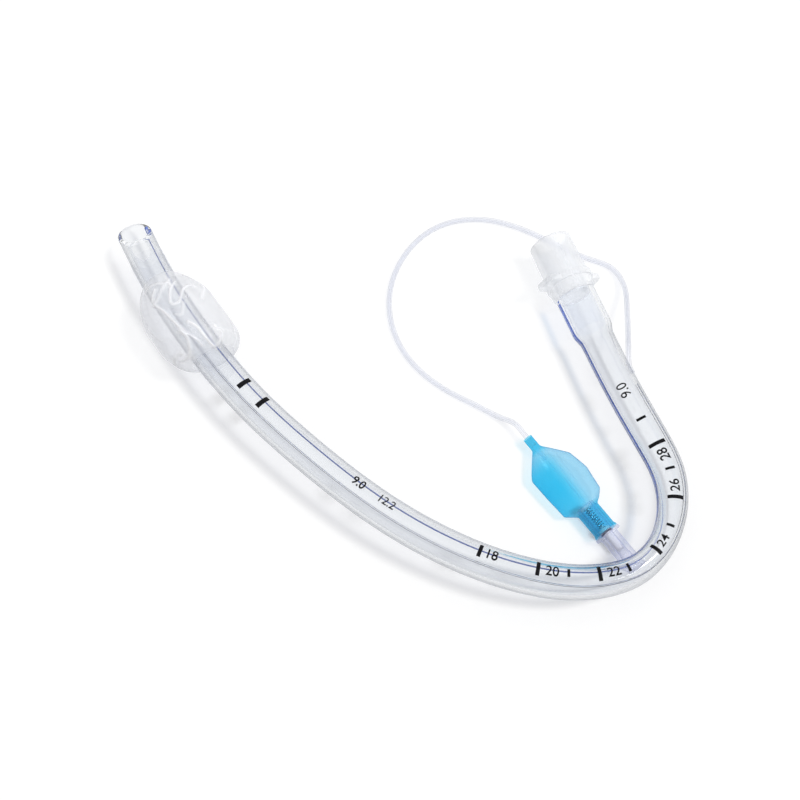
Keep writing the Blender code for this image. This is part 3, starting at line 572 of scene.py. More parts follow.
def shaftGrid():
    # rows run up the outer skin from the machine end, over the tip's rim and back along the bore
    angle = np.linspace(0.0, 2.0 * math.pi, shaft["columns"], endpoint=False)[None, :]
    tipZone = 20 * mm
    body = np.linspace(shaftLength, tipZone, 220)[:, None]
    wall = shaft["outer"] - shaft["bore"]
    slope = shaft["bevel"] / (2.0 * shaft["outer"])

    def edge(depth, push):
        return shaft["bevel"] / 2.0 + slope * (shaft["outer"] - depth) * np.sin(angle) - push
    w = np.linspace(1.0, 0.0, 24)[1:, None]
    outerEdge, boreEdge = edge(0.0, 0.0), edge(wall, 0.0)
    outerTip = outerEdge + (tipZone - outerEdge) * w
    boreTip = boreEdge + (tipZone - boreEdge) * w[::-1]
    phi = np.linspace(0.0, math.pi, 9)[1:-1, None]
    rimDepth = wall * (1.0 - np.cos(phi)) / 2.0
    rimS = edge(rimDepth, shaft["tipRim"] * np.sin(phi))
    rows = [shaftPoint(body, angle, share=0.0), shaftPoint(outerTip, angle, share=0.0),
            shaftPoint(rimS, angle, rimDepth), shaftPoint(boreTip, angle, share=1.0),
            shaftPoint(body[::-1], angle, share=1.0)]
    skin = np.concatenate([np.full(len(r), k < 2, float) for k, r in enumerate(rows)])
    # over the connector's nipple the light passes the edges more easily, and the painted edge shade is weaker
    # there
    overNipple = ease((body[:, 0] - shaftLength + shaft["nippleLength"] + shaft["taper"]) / shaft["taper"])
    skin[:len(body)] -= (1.0 - shaft["skinOverNipple"]) * overNipple
    return np.concatenate(rows), skin[:, None]


def channelGrid():
    # small lumen inside the wall, on the seam side, from the cuff to the slot
    s = np.linspace(shaft["lumenFrom"], slotStation - 6.0 * mm, 260)
    middle = shaftPoint(s, seamAngle(s), share=0.5)
    return carriedRings(asPath(middle), np.linspace(0.0, asPath(middle)["length"], 260),
                        shaft["lumenRadius"], 10)


def prism(name, place, xAxis, yAxis, zAxis, length, width, height):
    # stadium outline carried straight along z: half circles joined by straight sides
    a = np.linspace(-math.pi / 2, math.pi / 2, 17)
    straight = length / 2 - width / 2
    x = np.r_[straight + width / 2 * np.cos(a), -straight - width / 2 * np.cos(a)]
    y = np.r_[width / 2 * np.sin(a), -width / 2 * np.sin(a)]
    ring = x[:, None] * xAxis + y[:, None] * yAxis
    z = np.array([-height / 2, height / 2])
    return pieceFrom(name, [Shell(place + ring[None] + z[:, None, None] * zAxis).capped()])


grid, skin = shaftGrid()
tube = pieceFrom("shaftTube", [Shell(grid, closeRows=True, skin=skin),
                               Shell(channelGrid(), inward=True)])
centre, ahead, outward = shaftFrame(np.array(shaft["eyeStation"]))
eye = prism("eyeCut", centre - shaftUp * shaft["outer"], ahead, np.cross(shaftUp, ahead), shaftUp,
            shaft["eyeLength"], shaft["eyeWidth"], shaft["outer"])
cutBy(tube, eye)
finishWith(tube)
drop(eye)
shaftLook = {
    "colour": (0.945, 0.958, 0.972), "otherColour": (0.925, 0.938, 0.957), "rough": (0.005, 0.02),
    "clear": 1.0, "ior": 1.52, "bump": 0.002, "toneScale": 45.0, "fineScale": 120.0,
    "shadow": (0.96, 0.963, 0.972), "edgeShadow": (0.52, 0.525, 0.56),
    # painted shade: the near-black edge colour darkens the outline of the outer skin
    "paintedEdgeShade": (0.01, 0.03, 0.07), "edgeBlend": 0.36,
}
dress(tube, plasticMaterial("clearVinyl", shaftLook), "body", "shaft", "tube")
print("shaft", round(shaftLength / mm, 1), "mm")

# coloured stripe inside the wall, on the inner side of the curve

stripe = {
    "share": (0.28, 0.58),                 # its place in the wall
    "width": (9.0, 13.0),                  # degrees of the section, before and after the bend
    "angle": (203.0, 193.0),
    "look": {"colour": (0.008, 0.09, 0.56), "otherColour": (0.014, 0.12, 0.62), "rough": (0.3, 0.4),
             "bump": 0.02, "shadow": (0.6, 0.75, 0.9)},
}
stripeS = np.linspace(5.4 * mm, shaftLength - 0.3 * mm, 330)[:, None]
corner = twisted(stripeS, *stripe["width"]) / 2.0 * np.array([-1.0, -0.4, 0.4, 1.0, 1.0, 0.4, -0.4, -1.0])
cornerShare = np.array([stripe["share"][0]] * 4 + [stripe["share"][1]] * 4)
stripeGrid = shaftPoint(stripeS, twisted(stripeS, *stripe["angle"]) + corner, share=cornerShare)
stripePiece = pieceFrom("blueStripe", [Shell(stripeGrid).capped()])
dress(stripePiece, plasticMaterial("stripePigment", stripe["look"]), "body", "shaft")
print("stripe done")

# printed scale: bars and plain numbers wrapped onto the skin

ink = {
    "angle": (107.0, 93.0),                  # degrees of the section, before and after the bend
    "climb": (263.0, 0.39),                  # from this place on, mm, it turns by so many degrees a mm
    "barWidth": 1.3, "shortWidth": 0.95, "plainWidth": 1.75, "digits": 3.6, "lift": 0.03,   # mm
    "narrow": 0.86,
    # number: its bar's place, the bar's length, and where the number starts
    "long": {"18": (180.4, 4.8, 183.0), "20": (200.1, 5.3, 202.7), "22": (220.4, 5.8, 223.0),
             "24": (241.6, 5.9, 243.3), "26": (261.8, 6.3, 263.8), "28": (282.0, 6.3, 275.4)},
    "short": [(210.2, 2.9), (230.2, 3.5), (251.4, 3.5), (272.2, 3.5), (292.1, 3.5)],
    "plainBars": [(81.1, 5.6), (90.6, 5.6)],
    # number: where it starts, its height and how much bolder than the plain letters, mm
    "sizes": [("9.0", 131.9, 3.2, 0.09), ("12.2", 143.0, 3.1, 0.03), ("9.0", 301.0, 3.6, 0.02)],
    "look": {"colour": (0.003, 0.003, 0.004), "otherColour": (0.006, 0.006, 0.008),
             "rough": (0.45, 0.6), "bump": 0.05, "gloss": 0.1},
}


def wrapOnSkin(x, y, z):
    # x runs along the shaft, y round it, and z stands out from the skin; all are in metres
    start, climb = ink["climb"]
    angle = twisted(x, *ink["angle"]) + np.radians(climb) * np.maximum(0.0, x / mm - start)
    angle = angle + y / shaft["outer"]
    return shaftPoint(x, angle, -z)


def barShell(station, length, width):
    # low rounded slab on the skin: a grid over its outline, closed round the edge
    x = np.array([-0.5, -0.5, 0.5, 0.5]) * width
    z = np.array([-0.02, ink["lift"], ink["lift"], -0.02]) * mm
    y = np.linspace(-0.5, 0.5, 13)[:, None] * length
    grid = wrapOnSkin(station + x[None, :] + 0.0 * y, y + 0.0 * x[None, :], z[None, :] + 0.0 * y)
    return Shell(grid).capped()


def numberPiece(text, station, height, bold=0.07 * mm):
    # Blender's own plain letters, sliced finely so that they bend round the skin
    curve = bpy.data.curves.new("number", "FONT")
    curve.body = text
    curve.size = height / 0.69
    curve.extrude = 0.025 * mm
    curve.offset = bold
    curve.align_y = "CENTER"
    source = bpy.data.objects.new("number", curve)
    bpy.context.scene.collection.objects.link(source)
    bpy.context.view_layer.update()
    mesh = bpy.data.meshes.new_from_object(source.evaluated_get(bpy.context.evaluated_depsgraph_get()))
    work = bmesh.new()
    work.from_mesh(mesh)
    bmesh.ops.remove_doubles(work, verts=work.verts, dist=0.001 * mm)
    slices = (((1, 0, 0), 0.0, 4 * height, 0.7 * mm), ((0, 1, 0), -height, height, 0.35 * mm))
    for normal, low, high, step in slices:
        for offset in np.arange(low, high, step):
            everything = work.verts[:] + work.edges[:] + work.faces[:]
            bmesh.ops.bisect_plane(work, geom=everything, plane_co=Vector(normal) * float(offset),
                                   plane_no=normal, dist=1e-8)
    work.to_mesh(mesh)
    work.free()
    drop(source)
    count = len(mesh.vertices)
    local = np.empty(count * 3)
    mesh.vertices.foreach_get("co", local)
    local = local.reshape(-1, 3)
    middle = (local[:, 1].min() + local[:, 1].max()) / 2.0
    ahead = (local[:, 0] - local[:, 0].min()) * ink["narrow"]
    wrapped = wrapOnSkin(station + ahead, local[:, 1] - middle, local[:, 2] + 0.008 * mm)
    mesh.vertices.foreach_set("co", wrapped.reshape(-1))
    mesh.update()
    piece = bpy.data.objects.new("number" + text.replace(".", "_"), mesh)
    bpy.context.scene.collection.objects.link(piece)
    return piece


bars = [barShell(s * mm, w * mm, ink["barWidth"] * mm) for s, w, _ in ink["long"].values()]
bars += [barShell(s * mm, w * mm, ink["shortWidth"] * mm) for s, w in ink["short"]]
bars += [barShell(s * mm, w * mm, ink["plainWidth"] * mm) for s, w in ink["plainBars"]]
inkMaterial = plasticMaterial("printInk", ink["look"])
scaleBars = pieceFrom("scaleBars", bars)
dress(scaleBars, inkMaterial, "body", "shaft")
for text, (station, length, start) in ink["long"].items():
    number = numberPiece(text, start * mm, ink["digits"] * mm)
    dress(number, inkMaterial, "body", "shaft")
for text, start, height, bold in ink["sizes"]:
    dress(numberPiece(text, start * mm, height * mm, bold * mm), inkMaterial, "body", "shaft")
print("scale printed")

# cuff: thin film, blown up softly, with pleats at the collars and creases across the top

cuff = {
    "start": 18.8 * mm, "length": 53.4 * mm, "collarTip": 10.4 * mm, "collarBack": 6.5 * mm,
    "radius": 14.4 * mm, "sideRadius": 13.5 * mm, "slant": 1.75 * mm, "collar": 6.38 * mm,
    "rows": 190, "columns": 340,
    # creases: share of the bag's length and degrees round it, then width and height in mm, and
    # how white each one is
    "creases": [
        ([(0.14, 48), (0.158, 76), (0.20, 88), (0.217, 94), (0.278, 92)], 0.42, 0.35, 0.8),
        ([(0.22, 70), (0.275, 62), (0.34, 58), (0.42, 62), (0.52, 66), (0.66, 69), (0.79, 70)],
         0.42, 0.4, 0.9),
        ([(0.17, 100), (0.24, 84), (0.31, 72), (0.36, 60)], 0.55, 0.4, 0.5),
        ([(0.24, 104), (0.31, 90), (0.40, 82), (0.455, 80), (0.47, 88), (0.42, 98), (0.35, 112), (0.36, 124)],
         0.36, 0.35, 0.9),
        ([(0.355, 147), (0.44, 134), (0.522, 122)], 0.4, 0.25, 0.6),
        ([(0.50, 95), (0.56, 88), (0.60, 82), (0.57, 76)], 0.4, 0.25, 0.5),
        ([(0.818, 104), (0.85, 114), (0.88, 130), (0.89, 164)], 0.4, -0.3, 0.15),
        ([(0.74, 66), (0.79, 70), (0.85, 68), (0.917, 58), (0.94, 40), (0.915, 22)], 0.5, 0.5, 1.0),
        ([(0.70, 84), (0.79, 90), (0.87, 91), (0.94, 93), (0.978, 98), (0.965, 111), (0.92, 118),
          (0.863, 111)], 0.42, 0.5, 1.0),
        ([(0.70, 72), (0.79, 74), (0.87, 77), (0.94, 80)], 0.4, 0.3, 0.55),
        ([(0.16, 28), (0.30, 24), (0.50, 22), (0.66, 30)], 0.5, 0.2, 0.25),
        ([(0.46, 104), (0.60, 102), (0.74, 102), (0.802, 104)], 0.5, -0.4, 0.0),
        ([(0.88, 40), (0.86, 20), (0.88, 0), (0.91, -20)], 0.7, 0.4, 0.7),
    ],
    "look": {"colour": (0.96, 0.965, 0.995), "otherColour": (0.93, 0.94, 0.975), "rough": (0.12, 0.3),
             "film": (0.25, 0.68), "filmBlend": 0.25, "creaseOrSheenWeight": 0.75, "ior": 1.45, "hidden": 0.2,
             "bump": 0.15, "toneScale": 120.0, "tint": (0.978, 0.981, 0.989),
             "shadowShare": 0.15},
}


def bell(x, middle, width):
    return np.exp(-((x - middle) / width) ** 2)


def creaseField(share, angle):
    # every crease is a smooth line through its points. Its strength falls off with the distance
    # from the line, as exp(-(distance/width)^2), and is 1 on the line itself
    lift = np.zeros(np.broadcast_shapes(share.shape, angle.shape))
    white = lift.copy()
    bag = cuff["length"] - cuff["collarTip"] - cuff["collarBack"]
    x = share * bag
    for points, width, height, pale in cuff["creases"]:
        spots = np.array([(a * bag, math.radians(b) * cuff["sideRadius"], 0.0) for a, b in points])
        dense = throughPoints(spots, 60)
        turn = np.mod(angle + math.pi / 2, 2 * math.pi) - math.pi / 2
        y = turn * cuff["sideRadius"]
        gap = np.full(lift.shape, 1.0)
        for px, py, _ in dense:
            gap = np.minimum(gap, np.hypot(x - px, y - py))
        near = np.exp(-(gap / (1.25 * width * mm)) ** 2)
        wide = np.exp(-(gap / (3.0 * width * mm)) ** 2)
        lift += height * mm * (0.8 * near + 0.75 * wide)
        white = np.maximum(white, pale * near)
    return lift, white


def cuffGrid():
    # radius = collar + swell*(1 - pleats) + creases, over station and angle. The bag ends sooner
    # on the outside of the curve: stop = middle stop - slant*cos(angle)
    angle = np.linspace(0.0, 2.0 * math.pi, cuff["columns"], endpoint=False)[None, :]
    first = cuff["start"] + cuff["collarTip"]
    end = cuff["start"] + cuff["length"]
    last = end - cuff["collarBack"] - cuff["slant"] * np.cos(angle)
    collarRows = np.linspace(-1.0, 0.0, 12)[:-1]
    bagRows = (1 - np.cos(np.linspace(0, math.pi, cuff["rows"]))) / 2
    backRows = np.linspace(1.0, 2.0, 9)[1:]
    row = np.r_[collarRows, bagRows, backRows][:, None]
    s = np.where(row < 0.0, first + row * cuff["collarTip"], first + row * (last - first))
    s = np.where(row > 1.0, last + (row - 1.0) * (end - last), s)
    share = np.clip(row, 0.0, 1.0) + 0.0 * angle
    full = cuff["radius"] - (cuff["radius"] - cuff["sideRadius"]) * np.cos(angle) ** 2
    rise = 1 - (1 - np.minimum(1.0, share / 0.45)) ** 2.2
    fall = 1 - np.maximum(0.0, (share - 0.5) / 0.5) ** (6.0 - 2.0 * np.cos(angle))
    swell = np.minimum(rise, fall)
    tipPleats = (0.5 + 0.5 * np.cos(7 * angle + 0.6)) ** 2 * bell(share, 0.16, 0.13)
    backPleats = (0.5 + 0.5 * np.cos(6 * angle + 2.0)) ** 2 * bell(share, 0.86, 0.10)
    middle = np.sin(math.pi * share)
    # a shallow trough lies between the long creases on top
    trough = bell(angle, np.radians(84 + 14 * share), 0.24) * middle
    loss = 0.16 * tipPleats + 0.10 * backPleats + 0.09 * trough
    fine = (0.010 * np.sin(23 * angle + 9 * share) * bell(share, 0.12, 0.2)
            + 0.008 * np.sin(31 * angle - 7 * share) * bell(share, 0.9, 0.16)
            + 0.006 * np.sin(9 * angle + 21 * share) * middle)
    lift, white = creaseField(share, angle)
    inBag = (swell > 0.0) * np.minimum(1.0, 4.0 * swell)
    radius = (cuff["collar"] + (full - cuff["collar"]) * swell * (1 - loss + fine)
              + (lift - 0.35 * mm * middle) * inBag)
    centre, heading, outward = shaftFrame(s)
    grid = (centre + outward * (radius * np.cos(angle))[..., None]
            + shaftUp * (radius * np.sin(angle))[..., None])
    crease = (white * inBag
              + 0.3 * (0.5 + 0.5 * np.cos(7 * angle + 0.6)) ** 30 * bell(share, 0.14, 0.10)
              + 0.3 * (0.5 + 0.5 * np.cos(6 * angle + 2.0)) ** 30 * bell(share, 0.90, 0.08))
    # the collars are glued onto the shaft, so they hardly show
    glued = np.maximum(1.0 - ease(share / 0.03), ease((share - 0.97) / 0.03))
    return grid, crease, glued


grid, crease, glued = cuffGrid()
cuffFilm = pieceFrom("cuffFilm", [Shell(grid, crease=crease, inside=glued)])
dress(cuffFilm, filmMaterial("cuffVinylFilm", cuff["look"]), "body", "cuff", "cuff")
print("cuff done")

# connector: turned body with two ears

conn = {
    "mouth": 7.65 * mm, "base": 7.85 * mm, "coneLength": 15.6 * mm, "wall": 1.5 * mm,
    "earReach": 12.7 * mm, "earWidth": 8.8 * mm, "earThickness": 2.6 * mm, "earTurn": 32.0,
    "flange": 8.6 * mm, "hub": 8.0 * mm, "hubLength": 4.4 * mm, "chamfer": 1.5 * mm, "gap": 0.3 * mm,
    "nipple": 5.5 * mm, "nippleLength": 13.5 * mm, "nippleWall": 1.05 * mm,
    "look": {"colour": (0.965, 0.975, 0.995), "otherColour": (0.945, 0.957, 0.98), "rough": (0.12, 0.2),
             "ior": 1.45, "bump": 0.02, "fineScale": 120.0, "hidden": 0.06,
             # the crease weight here whitens the cone's painted highlight streaks
             "film": (0.24, 0.46), "filmBlend": 0.25, "creaseOrSheenWeight": 0.16,
             "tint": (0.985, 0.989, 0.997), "shadowShare": 0.2},
}


def connectorPiece():
    # the outline runs down the outside from the mouth to the nipple and back up the bore
    centre, ahead, outward = shaftFrame(np.array(shaftLength))
    xAxis, yAxis = -outward, shaftUp
    low = conn["gap"]
    plateLow = low + conn["hubLength"]
    plateHigh = plateLow + conn["earThickness"]
    mouth = plateHigh + conn["coneLength"]
    boreCone = conn["mouth"] - conn["wall"]
    boreNipple = conn["nipple"] - conn["nippleWall"]
    outline = [(conn["mouth"], mouth), (conn["base"], plateHigh), (conn["flange"], plateHigh),
               (conn["flange"], plateLow), (conn["hub"], plateLow), (conn["hub"], low + conn["chamfer"]),
               (conn["hub"] - conn["chamfer"] / 2, low), (conn["nipple"], low),
               (conn["nipple"], -conn["nippleLength"]), (boreNipple, -conn["nippleLength"]),
               (boreNipple, -1.4 * mm), (boreCone - 0.8 * mm, 1.4 * mm), (boreCone - 0.1 * mm, mouth)]
    body = pieceFrom("connectorCone", [Shell(turnedGrid(rounded(outline, 0.35 * mm), 96, centre,
                                                        xAxis, yAxis, ahead), closeRows=True)])
    turn = math.radians(conn["earTurn"])
    earX = xAxis * math.cos(turn) + yAxis * math.sin(turn)
    earY = yAxis * math.cos(turn) - xAxis * math.sin(turn)
    # rounded rectangle as a superellipse, with its edges eased over the thickness
    a = np.linspace(0.0, 2.0 * math.pi, 96, endpoint=False)
    square = (np.abs(np.cos(a)) ** 7 + np.abs(np.sin(a)) ** 7) ** (-1.0 / 7.0)
    phi = np.linspace(-math.pi / 2, math.pi / 2, 9)
    inset = 0.6 * mm * (1.0 - np.cos(phi))
    z = np.r_[plateLow + 0.05 * mm + 0.6 * mm * (1 + np.sin(phi[:5])),
              plateHigh - 0.05 * mm - 0.6 * mm * (1 - np.sin(phi[4:]))]
    inset = np.r_[inset[:5], inset[4:]]
    x = (conn["earReach"] - inset)[:, None] * (square * np.cos(a))[None, :]
    y = (conn["earWidth"] / 2 - inset)[:, None] * (square * np.sin(a))[None, :]
    ears = centre + x[..., None] * earX + y[..., None] * earY + z[:, None, None] * ahead
    plate = pieceFrom("ears", [Shell(ears).capped()])
    half = 3 * conn["earThickness"]
    core = pieceFrom("earsCore", [Shell(turnedGrid([(conn["hub"] - 1 * mm, plateLow - half),
                                                    (conn["hub"] - 1 * mm, plateHigh + half)],
                                                   48, centre, xAxis, yAxis, ahead)).capped()])
    cutBy(plate, core)
    cutBy(body, plate, "UNION")
    finishWith(body)
    drop(plate, core)
    # inside is 1 on the nipple, where the shaft grips it. The cone is a little whiter in soft streaks along
    # it, painted highlights that stand in for reflections: streak strength = (0.5 + 0.5*sin(6*angle + 0.8))^2
    local = np.empty(len(body.data.vertices) * 3)
    body.data.vertices.foreach_get("co", local)
    offset = local.reshape(-1, 3) - centre
    height = offset @ ahead
    turned = np.arctan2(offset @ yAxis, offset @ xAxis)
    paintedSheenStreak = (0.5 + 0.5 * np.sin(6.0 * turned + 0.8)) ** 2 * (height > 0.1 * mm)
    for name, value in (("inside", height < 0.1 * mm), ("crease", paintedSheenStreak)):
        attribute = body.data.attributes.new(name, "FLOAT", "POINT")
        attribute.data.foreach_set("value", value.astype(np.float32))
    return body


connector = connectorPiece()
dress(connector, filmMaterial("milkyPolypropylene", conn["look"]), "body", "connector", "connector")
print("connector done")

# pilot balloon: two welded films, flat at the seam, with a neck and a sleeve

pilot = {
    "length": 42.0 * mm, "sleeve": 9.6 * mm, "neck": 1.65 * mm, "neckLength": 4.6 * mm,
    "halfWidth": 9.6 * mm, "halfThickness": 4.5 * mm, "sleeveRadius": 4.1 * mm,
    "innerLook": {"colour": (0.45, 0.75, 0.92), "otherColour": (0.5, 0.8, 0.95), "rough": (0.1, 0.2),
                  "bump": 0.02, "film": (0.02, 0.45), "filmBlend": 0.15, "tint": (0.96, 0.985, 1.0),
                  "shadowShare": 0.2},
    # share of the bag's length and of its full half width, for its two sides
    "front": [(0.0, 0.0), (0.02, 0.04), (0.245, 0.72), (0.31, 0.88), (0.6, 0.83), (0.9, 0.72), (1.0, 0.0)],
    "back": [(0.0, 0.0), (0.03, 0.04), (0.30, 0.80), (0.57, 0.99), (0.875, 0.78), (0.955, 0.36), (1.0, 0.0)],
    "look": {"colour": (0.015, 0.33, 0.72), "otherColour": (0.03, 0.40, 0.78), "rough": (0.08, 0.16),
             "ior": 1.45, "bump": 0.1, "toneScale": 90.0, "film": (0.06, 0.8), "filmBlend": 0.18,
             # the deeper tint for thick film also paints shade on the balloon's front-left side
             "creaseOrSheenWeight": 0.75, "tint": (0.68, 0.89, 0.97), "thickOrShadedTint": (0.22, 0.78, 0.945),
             "shadowShare": 0.3, "shadowPale": 0.65},
}


def pilotGrid():
    # half width and half thickness over the length t, pinched towards the seam at both sides
    bag = pilot["length"] - pilot["sleeve"]
    neck = pilot["neckLength"]
    t = np.r_[np.linspace(0.0, neck, 10)[:-1],
              neck + (bag - neck) * (1 - np.cos(np.linspace(0, math.pi, 110))) / 2,
              np.linspace(bag, pilot["length"], 24)[1:]]
    share = np.clip((t - neck) / (bag - neck), 0.0, 1.0)
    # the outline's corners are softened by averaging over a short window
    fine = np.linspace(-0.05, 1.05, 441)
    sides = []
    for shape in (pilot["front"], pilot["back"]):
        at, size = np.array(shape).T
        soft = np.convolve(np.pad(np.interp(fine, at, size), 6, "edge"), np.ones(13) / 13, "valid")
        sides.append(np.interp(share, fine, soft) * (share > 0.0) * (share < 1.0))
    front, back = sides
    swell = (front + back) / 2.0
    low = pilot["neck"] + (pilot["sleeveRadius"] - pilot["neck"]) * share
    lip = 0.35 * mm * ease((t - pilot["length"] + 1.1 * mm) / (0.5 * mm))
    thick = low + (pilot["halfThickness"] - low) * swell + lip
    angle = np.linspace(0.0, 2.0 * math.pi, 120, endpoint=False)
    turn = (1.0 + np.cos(angle)) / 2.0
    both = front[:, None] + (back - front)[:, None] * turn
    wide = (low + lip)[:, None] + (pilot["halfWidth"] - low)[:, None] * both
    pinch = np.clip((wide - thick[:, None]) / pilot["halfThickness"], 0.0, 1.0)
    x = wide * np.cos(angle)
    y = thick[:, None] * np.sin(angle) * (1 - 0.28 * pinch * np.abs(np.cos(angle)) ** 3)
    # creases run along the bag on its upper side, and the film is thick at the neck and sleeve
    across = x / pilot["halfWidth"]
    swollen = swell[:, None]
    crease = swollen * (y > 0) * (bell(across, -0.12 + 0.1 * share[:, None], 0.018)
                                  + 0.7 * bell(across, 0.18 - 0.2 * share[:, None], 0.02)
                                  + 0.5 * bell(across, 0.42 - 0.3 * share[:, None], 0.02))
    # the welded seam runs round its two sides
    crease = np.maximum(crease * 0.4, swollen ** 0.5 * bell(np.abs(np.cos(angle)), 1.0, 0.006))
    dense = 0.8 * np.maximum(1 - ease(share * 8.0), ease((share - 0.93) * 14.0))[:, None]
    # and, as painted shade, on the side that faces the bench's front left, which leaves the upper right side
    # paler as if it caught the lamp's reflection
    dense = np.maximum(dense, swollen * (1 - ease((across + 0.12) / 0.5)))
    grid = (pilotOrigin + x[..., None] * pilotSide + y[..., None] * pilotUp
            + t[:, None, None] * pilotAxis)
    return grid, crease, dense


grid, crease, dense = pilotGrid()
balloon = pieceFrom("pilotBag", [Shell(grid, crease=crease, thick=dense)])
dress(balloon, filmMaterial("blueFilm", pilot["look"]), "body", "pilot", "pilot_balloon")
innerPath = asPath(pilotOrigin + np.linspace(3.4 * mm, 9.8 * mm, 20)[:, None] * pilotAxis)
innerS = np.linspace(0.0, innerPath["length"], 20)
innerRows = np.concatenate([carriedRings(innerPath, innerS, line["radius"], line["columns"]),
                            carriedRings(innerPath, innerS[::-1], line["bore"], line["columns"])])
lineEnd = pieceFrom("lineEnd", [Shell(innerRows, closeRows=True)])
dress(lineEnd, filmMaterial("innerLine", pilot["innerLook"]), "body", "line")
print("pilot balloon done")

# valve: insert, flange and Luer barrel, with a sprung plunger

valve = {
    "flange": 4.8 * mm, "flangeThickness": 1.0 * mm, "insertLength": 11.6 * mm, "insertWall": 0.9 * mm,
    "insert": 3.4 * mm, "luer": 3.3 * mm, "luerLength": 15.0 * mm, "mouth": 2.15 * mm,
    "taper": 0.2 * mm, "depth": 7.0 * mm, "seatBore": 1.75 * mm, "seat": 0.4 * mm,
    "plunger": 1.4 * mm, "head": 1.0 * mm, "nose": 7.5 * mm, "seal": 0.5 * mm, "gap": 0.3 * mm,
    "boss": 0.6 * mm, "bossLength": 1.1 * mm, "retainer": 0.8 * mm,
    "wire": 0.2 * mm, "coil": 1.15 * mm, "turns": 8,
    # the barrel's lavender colour shows only where it is seen edge on: the hue is the plastic's own, the
    # darkness of that outline is painted shade
    "clearLook": {"colour": (0.46, 0.50, 0.84), "otherColour": (0.52, 0.56, 0.87), "rough": (0.04, 0.1),
                  "bump": 0.01, "fineScale": 120.0, "film": (0.02, 0.7), "filmBlend": 0.2,
                  "creaseOrSheenWeight": 0.0, "tint": (0.96, 0.963, 0.987), "shadowShare": 0.3},
    "whiteLook": {"colour": (0.90, 0.91, 0.93), "otherColour": (0.84, 0.85, 0.88), "rough": (0.3, 0.45),
                  "bump": 0.08, "milky": 0.2, "milkyDepth": 0.001},
    "sealLook": {"colour": (0.05, 0.055, 0.065), "otherColour": (0.08, 0.08, 0.09), "rough": (0.6, 0.8),
                 "bump": 0.2},
    "wireLook": {"colour": (0.42, 0.44, 0.47), "otherColour": (0.5, 0.52, 0.55), "rough": (0.2, 0.35),
                 "metal": 1.0, "bump": 0.05},
}
valveOrigin = pilotOrigin + (pilot["length"] + valve["gap"]) * pilotAxis
insertBore = valve["insert"] - valve["insertWall"]


def valveTurned(name, outline, radius=0.15 * mm, columns=64, solid=False):
    grid = turnedGrid(outline if solid else rounded(outline, radius), columns, valveOrigin,
                      pilotSide, pilotUp, pilotAxis)
    shell = Shell(grid, closeRows=not solid)
    return pieceFrom(name, [shell.capped() if solid else shell])


luerMouth = valve["flangeThickness"] + valve["luerLength"]
valveBody = valveTurned("valveBarrel", [
    (valve["luer"], luerMouth), (valve["luer"], valve["flangeThickness"]),
    (valve["flange"], valve["flangeThickness"]), (valve["flange"], 0.0), (valve["insert"], 0.0),
    (valve["insert"], -valve["insertLength"]), (insertBore, -valve["insertLength"]),
    (insertBore, valve["seat"]), (valve["seatBore"], valve["seat"]),
    (valve["seatBore"], luerMouth - valve["depth"]),
    (valve["mouth"] - valve["taper"], luerMouth - valve["depth"]), (valve["mouth"], luerMouth)])
dress(valveBody, filmMaterial("clearValve", valve["clearLook"]), "body", "valve", "valve_body")

sealHigh = valve["seat"] - valve["gap"]
sealLow = sealHigh - valve["seal"]
headHigh = sealLow - valve["gap"]
headLow = headHigh - valve["head"]
headRadius = insertBore - valve["gap"]
plungerPin = valveTurned("plungerPin", [
    (0.9 * mm, valve["nose"]), (valve["plunger"], valve["nose"] - 0.4 * mm), (valve["plunger"], headHigh),
    (headRadius, headHigh), (headRadius, headLow), (valve["boss"], headLow),
    (valve["boss"], headLow - valve["bossLength"] + 0.15 * mm),
    (valve["boss"] - 0.15 * mm, headLow - valve["bossLength"])], solid=True)
whitePlastic = plasticMaterial("whitePlastic", valve["whiteLook"])
dress(plungerPin, whitePlastic, "plunger", "white", "valve_plunger")
sealRing = valveTurned("sealRing", [(headRadius, sealHigh), (headRadius, sealLow),
                                    (valve["plunger"] + 0.1 * mm, sealLow),
                                    (valve["plunger"] + 0.1 * mm, sealHigh)])
dress(sealRing, plasticMaterial("sealRubber", valve["sealLook"]), "plunger", "seal", "valve_seal")

retainerTop = -valve["insertLength"] + valve["retainer"] + 0.4 * mm
springLow = retainerTop + valve["gap"] + valve["wire"]
springHigh = headLow - valve["gap"] - valve["wire"]
turnsAngle = np.linspace(0.0, 2.0 * math.pi * valve["turns"], 400)
coil = (valveOrigin + valve["coil"] * (np.cos(turnsAngle)[:, None] * pilotSide
                                       + np.sin(turnsAngle)[:, None] * pilotUp)
        + np.linspace(springLow, springHigh, 400)[:, None] * pilotAxis)
coilPath = asPath(coil)


def coilGrid():
    # wire section in the plane of the coil's radius and its axis
    s = np.linspace(0.0, coilPath["length"], 400)
    middle = pathAt(coilPath, s)
    ahead = pathHeading(coilPath, s, 0.05 * mm)
    side = unit(np.cross(ahead, pilotAxis))
    other = np.cross(ahead, side)
    a = np.linspace(0.0, 2.0 * math.pi, 12, endpoint=False)[None, :, None]
    return middle[:, None] + valve["wire"] * (np.cos(a) * side[:, None] + np.sin(a) * other[:, None])


spring = pieceFrom("springCoil", [Shell(coilGrid()).capped()])
spring.data.materials.append(plasticMaterial("springWire", valve["wireLook"]))
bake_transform(spring)
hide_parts("valve_spring")
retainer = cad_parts["valve_retainer"]
retainer.data.materials.clear()
retainer.data.materials.append(whitePlastic)
print("valve done")

# bench, light and world

